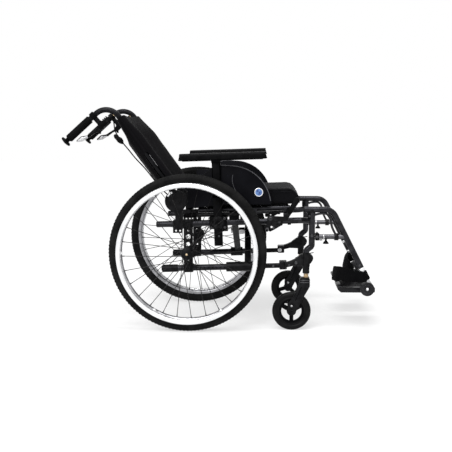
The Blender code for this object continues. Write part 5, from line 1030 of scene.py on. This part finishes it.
footCorner = Vector((694, postY, 164))
footPath = bendPath([hangerFoot - hangerLine * 85, hangerFoot + hangerLine * 64, footCorner], 22, 8)
addPair("footTube", tube(footPath, 8.8, 24), "steel", "footrest", "footrest_tube")
addPair("footCarrier", [block((680, 176, 139), (706, 236, 156.7), 3, 3),
                        bar((620, 183, 147.5), (724, 183, 147.5), 4.4, 16)], "blackMetal", "footrest")
discCentre = (694, 0, 164)
discShape = [(6.8, 233.5), (25.2, 233.5), (26.8, 234.5), (27.3, 236.5), (27.3, 253.5), (26.8, 255.2), (24.8, 256.5),
             (19, 256.5), (18.2, 255.6), (16.4, 255.6), (15.6, 256.5), (9, 256.5), (6.8, 255.8)]
addPair("footDisc", lathe(discShape, discCentre, side, 56), "plateGrey", "footrest")
dot = block((16.6, 255.3, -1.6), (18, 256.3, 1.6), 0.3, 1)
addPair("footDiscMarks", around(dot, 18, discCentre, "litStrutAndMarkPaint"), "litStrutAndMarkPaint", "footrest")
washer = [(0, 253.5), (4.4, 253.5), (4.8, 256), (4.8, 257.2), (4, 258), (0, 258.2)]
addPair("footDiscPin", [lathe(washer, discCentre, side, 28),
                        lathe(bandShape(9, 11.8, 12.4, 0.8, 12, 0.2), hangerFoot, hangerLine, 28)],
        "brightMetal", "footrest")

# the plate with its notch for the carrier, and ribs on top
boardRear = [(590, 157.5), (586.5, 156), (586, 153), (586, 148.5), (598.5, 137.5)]
boardFront = [(726, 137.5), (730, 139.5), (732, 143), (732, 156), (730, 157.5)]
addPair("footBoard", [sheetMetal(boardRear + boardFront, 40, 169, soften=1.4),
                      sheetMetal(boardRear + [(677.5, 137.5), (677.5, 157.5)], 166, 189.5, soften=1.4),
                      sheetMetal([(708.5, 137.5), *boardFront, (708.5, 157.5)], 166, 189.5, soften=1.4)],
        "plateGrey", "footplate", "footplate")
boardRibs = [block((602, 54.4 + 12.2 * k, 157), (702, 57.6 + 12.2 * k, 158.6), 0.5, 1) for k in range(9)]
addPair("boardRibs", boardRibs, "softPlastic", "footplate")
print("footrests ready")

# ---- heel straps

heel = {"span": (17, 52), "thick": 8.5, "rear": {"left": 642, "right": 576},
        # share of the way back, y, z, half of its height, lean
        "route": ((0, 256.8, 212, 17.5, -0.35), (0.25, 252, 213, 20, -0.15), (0.6, 230, 212, 24, 0.15),
                  (0.97, 164, 208, 25.5, 0.2), (1, 112, 203, 25, 0.1), (0.66, 72, 193, 23.5, 0.1),
                  (0.3, 58, 182.5, 23.6, 0)),
        "collar": ((9.8, 0), (12.6, 0), (13.6, 1.2), (13.8, 10), (13.3, 17.5), (13.8, 25), (13.6, 33.8), (12.6, 35),
                   (9.8, 35))}
leanScale = 50  # keeps the lean small beside the lengths, so that it hardly counts in the spacing


def strapRise(row):
    return Vector((row[4] / leanScale, 0, 1)) * row[3]


def strap(rows, thickness, sides):
    # a flat band along the rows, with a rounded section
    rings = []
    for i, row in enumerate(rows):
        heading = rows[min(i + 1, len(rows) - 1)] - rows[max(i - 1, 0)]
        square = Vector((-heading[1], heading[0], 0)).normalized() * thickness / 2
        rings.append([Vector(row[:3]) + strapRise(row) * boxed(sin(t), 0.35) + square * boxed(cos(t), 0.6)
                      for t in turns(sides)])
    return capped(rings)


sleeveMiddle = hangerFoot + hangerLine * sum(heel["span"]) / 2
for end, sign in (("left", 1), ("right", -1)):
    reach = heel["rear"][end] - sleeveMiddle.x
    rows = smoothPath([Vector((sleeveMiddle.x + share * reach, y, z, half, lean * leanScale))
                       for share, y, z, half, lean in heel["route"]], 4)
    for i, row in enumerate(rows):
        # soft cloth: the band's height and level wander a little
        row[3] *= 1 + 0.22 * noise.noise(Vector((i * 0.13, sign * 3.0, 0)))
        row[2] += 3.5 * noise.noise(Vector((i * 0.17, sign * 5.0, 2)))
        row[0] += 2.2 * noise.noise(Vector((i * 0.21, 7, sign)))
    band = together([strap(rows, heel["thick"], 16),
                     lathe(heel["collar"], hangerFoot + hangerLine * heel["span"][0], hangerLine, 32)])
    hems = together([tube([Vector(row[:3]) + strapRise(row) * edge for row in rows[1:-1]], 3, 8, 0.8)
                     for edge in (0.97, -0.97)])
    for mesh in (band, hems) if sign < 0 else ():
        mesh.transform(Matrix.Diagonal((1, -1, 1, 1)))
        mesh.flip_normals()
    strapPiece = addPiece(f"heelStrap_{end}", band, "strapCloth", None, [f"heel_loop_{end}"], 60)
    hemPiece = addPiece(f"heelStrapHem_{end}", hems, "strapCloth", None, angle=60)
    for piece in (strapPiece, hemPiece):
        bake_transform(piece)
print("heel straps ready")

# ---- seat


def inflated(mesh, cap):
    # a short cloth run in metres fills the cover; no point moves further than the cap
    item = stood(mesh)
    modifier = item.modifiers.new("Cloth", "CLOTH")
    for key, value in {"use_pressure": True, "uniform_pressure_force": 4.0, "quality": 6, "mass": 0.3,
                       "tension_stiffness": 25, "compression_stiffness": 25, "bending_stiffness": 3}.items():
        setattr(modifier.settings, key, value)
    modifier.settings.effector_weights.gravity = 0
    modifier.collision_settings.use_collision = False
    modifier.point_cache.frame_start, modifier.point_cache.frame_end = 1, 20
    for step in range(1, 21):
        scene.frame_set(step)
    made = bpy.data.meshes.new_from_object(item.evaluated_get(bpy.context.evaluated_depsgraph_get()))
    scene.frame_set(1)
    bpy.data.objects.remove(item)
    for vertex, was in zip(made.vertices, mesh.vertices):
        move = vertex.co - was.co
        if move.length > cap:
            vertex.co = was.co + move.normalized() * cap
    bpy.data.meshes.remove(mesh)
    return made


slingBottom = railLevel + 11 + 0.3
seat = {"rear": -18, "front": 436, "half": 199, "thick": 60, "bottom": slingBottom + 3.6, "frontLean": 28, "nose": 12.5,
        "inset": 3.5}  # inset is room for the filling to swell
middleX, halfX = (seat["rear"] + seat["front"]) / 2, (seat["front"] - seat["rear"]) / 2


def cushionMesh():
    bm = bmesh.new()
    bmesh.ops.create_cube(bm, size=2)
    bmesh.ops.bevel(bm, geom=bm.edges, offset=0.001, segments=1, affect="EDGES")
    for vertex in bm.verts:
        u, v, w = vertex.co
        x = middleX + u * (halfX - seat["inset"]) - (seat["frontLean"] if u > 0 and w > 0 else 0)
        level = seat["bottom"] + (seat["thick"] - 0.5 if w > 0 else 0.6)
        y = v * (seat["half"] - seat["inset"])
        vertex.co = onSlope(x / 1000, y / 1000, level / 1000)  # the remesh and the cloth run work in metres
    edges = [e for e in bm.edges if e.calc_length() > 0.03]
    bmesh.ops.bevel(bm, geom=edges, offset=0.007, segments=3, affect="EDGES", profile=0.5)
    return meshOf(bm, 2e-4)


cushion = worked(cushionMesh(), ("REMESH", {"mode": "VOXEL", "voxel_size": 0.006}))
cushion = worked(inflated(cushion, 0.005), ("SMOOTH", {"iterations": 3, "factor": 0.5}),
                 ("SUBSURF", {"levels": 1, "render_levels": 1}))
cushion.transform(toMetres.inverted())
for vertex in cushion.vertices:
    # it lies flat on the seat cloth, never swells past its cover's size, and has a rounded front
    x, y = vertex.co.x, vertex.co.y
    level = (vertex.co - onSlope(x, 0, seat["bottom"])).dot(aboveSeat)
    share = min(max(level / seat["thick"], 0), 1)
    reach = min(max((x - seat["front"] + 75) / 45, 0), 1)
    vertex.co += alongSeat * seat["nose"] * sin(pi * share) ** 0.8 * reach * reach
    middling = max(0, cos(pi / 2 * min(1, abs(vertex.co.x - middleX) / halfX)))
    high = seat["thick"] + 1.2 + 4 * cos(pi / 2 * min(1, abs(y) / seat["half"])) * middling
    vertex.co += aboveSeat * (max(level, 0) - level - max(level - high, 0))
cushionPiece = addPiece("seatCushion", cushion, "seatCloth", None, ["cushion"], None)


def cushionLoop(height, inset, lean):
    corners, r = [], 16
    front, rear, half = seat["front"] - inset - lean - r, seat["rear"] + inset + r, seat["half"] - inset - r
    for x, y, a in ((front, half, 0), (rear, half, 90), (rear, -half, 180), (front, -half, 270)):
        corners += arc(x, y, r, a, a + 90, 6)
    dense = []
    for (x0, y0), (x1, y1) in zip(corners, corners[1:] + corners[:1]):
        count = max(1, int(dist((x0, y0), (x1, y1)) / 12))
        dense += [(x0 + (x1 - x0) * k / count, y0 + (y1 - y0) * k / count) for k in range(count)]
    return [onSlope(x, y, seat["bottom"] + height) for x, y in dense]


def weltAlong(points, radius=1.7, sides=8):
    rings = []
    for i, point in enumerate(points):
        out = (points[(i + 1) % len(points)] - points[i - 1]).cross(aboveSeat).normalized()
        rings.append([point + (out * cos(t) + aboveSeat * sin(t)) * radius for t in turns(sides)])
    return meshOf(shell(rings, join=True)[0])


def stitchOf(half, radius):
    return bar((0, 0, -half), (0, 0, half), radius, 6, 0.2)


welts = [weltAlong(cushionLoop(seat["thick"] - 4, 4.6, seat["frontLean"])), weltAlong(cushionLoop(5, 4, 0))]
weltPiece = addPiece("cushionWelts", welts, "backCloth", None, angle=60)
stitchLine = cushionLoop(seat["thick"] - 10.5, 2.4, seat["frontLean"] * 0.9)
stitchMesh = alongLine(stitchLine + stitchLine[:1], stitchOf(2.2, 0.5), 300, "thread")
stitchPiece = addPiece("cushionStitches", stitchMesh, "thread", None)

sling = [[onSlope(42 + 346 * i / 24, -194.5 + 389 * k / 40, slingBottom + 1.4 + 0.3 * sin(i * 1.3) * cos(k * 0.7))
          for k in range(41)] for i in range(25)]
slingMesh = worked(meshOf(shell(sling, closed=False)[0]), ("SOLIDIFY", {"thickness": 1.6, "offset": 0}))
slingPiece = addPiece("seatSling", slingMesh, "strapCloth", None, ["seat_sling"], 60)
for piece in (cushionPiece, weltPiece, stitchPiece, slingPiece):
    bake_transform(piece)
print("seat ready")

# ---- back upholstery

back = {"start": 75, "end": 411, "half": 215.8, "front": 36, "behind": 28.5, "dish": 58, "sag": 29, "slot": (120, 235),
        "columns": 84, "rows": 60}


def backSpot(share, ahead, y):
    return canePoint(back["start"] + (back["end"] - back["start"]) * share, ahead, y)


def backPoint(u, v, face):
    # u runs across and v up the back, both from -1 to 1. face is 1 in front and -1 behind
    share = (v + 1) / 2
    taut = max(share - 0.7, 0) / 0.3
    hollow = (1 - u * u) ** 2 * (1 - 0.85 * taut)
    ease = max(share - 0.66, 0) / 0.34
    ease = ease * ease * (3 - 2 * ease)
    front = back["front"] * (1 - 0.42 * ease) - back["dish"] * hollow
    behind = -back["behind"] * (1 - 0.45 * taut) - back["sag"] * hollow
    sideRound = sqrt(max(0, 1 - max(0, (abs(u) - 0.86) / 0.14) ** 2))
    endRound = sqrt(max(0, 1 - max(0, (abs(v) - 0.955) / 0.045) ** 2))
    ahead = (front + behind) / 2 + face * (front - behind) / 2 * max(sideRound, 0.02) * max(endRound, 0.12)
    broad, fine = Vector((u * 5, v * 3 + face, 0.4)), Vector((u * 16, v * 9, face * 2))
    crease = 1.3 * noise.noise(broad) + 0.6 * noise.noise(fine)
    return backSpot(share, ahead + crease * face * sideRound, u * back["half"])


def closer(steps, power):
    # from -1 to 1, with the steps closer together at both ends
    return [copysign(1 - (1 - abs(s)) ** power, s) for s in (2 * i / steps - 1 for i in range(steps + 1))]


def backMesh():
    across, upwards = closer(back["columns"], 1.5), closer(back["rows"], 1.4)
    bm, rings = shell([[backPoint(u, v, 1) for v in upwards] + [backPoint(u, v, -1) for v in reversed(upwards)]
                       for u in across])
    for ends in (rings[0], rings[-1]):
        for j in range(back["rows"]):
            bm.faces.new((ends[j], ends[j + 1], ends[-2 - j], ends[-1 - j]))
    return meshOf(bm)


cutters = []
slotLow, slotHigh = back["slot"]
slotSpots = ((slotLow, -10.5), (slotHigh, -10.5), (slotHigh + 10, 0), (slotHigh, 10.5), (slotLow, 10.5))
slotShape = [flat(canePoint(*spot)) for spot in slotSpots]
for sign in (1, -1):
    ends = [canePoint(along, 0, sign * caneY) for along in (back["start"] - 30, back["end"] + 30)]
    cutters.append(stood(tube(ends, 11.8, 24, 0)))
    cutters.append(stood(sheetMetal(slotShape, *sorted((sign * 205.5, sign * 231.5)), soften=1)))
cover = worked(backMesh(), *[("BOOLEAN", {"operation": "DIFFERENCE", "object": item}) for item in cutters])
for item in cutters:
    bpy.data.objects.remove(item)
backPiece = addPiece("backCover_cloth", cover, "backCloth", "back_left", ["back_upholstery"], 50)


def edgeLine(begin, count, ahead, y):
    shares = [begin + (1 - 2 * begin) * k / count for k in range(count + 1)]
    return [backSpot(s, ahead * (1 - 0.45 * max(0, (s - 0.7) / 0.3)), y) for s in shares]


# a seam along each side of the back's front, in the darker strap cloth so that it also gives painted shade beside the
# sleeve
seamShadeLines = [tube(edgeLine(0.02, 24, 20, sign * 195), 1.1, 8) for sign in (1, -1)]
seamShadePiece = addPiece("backSeams", seamShadeLines, "strapCloth", "back_left", angle=60)
stitches = [alongLine(edgeLine(0.04, 12, -19.5, sign * 207.5), stitchOf(2.6, 0.6), 44, "thread") for sign in (1, -1)]
stitchBack = addPiece("backStitches", stitches, "backCloth", "back_left")
# a thin bright strip along each cane's front edge, seen through the slot: painted highlight
addPair("caneStrip", bar(canePoint(170, 10.4, 212.2), canePoint(224, 10.4, 212.2), 1.6, 10), "steel", "back")
for piece in (backPiece, seamShadePiece, stitchBack):
    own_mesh(piece)
print("back ready")
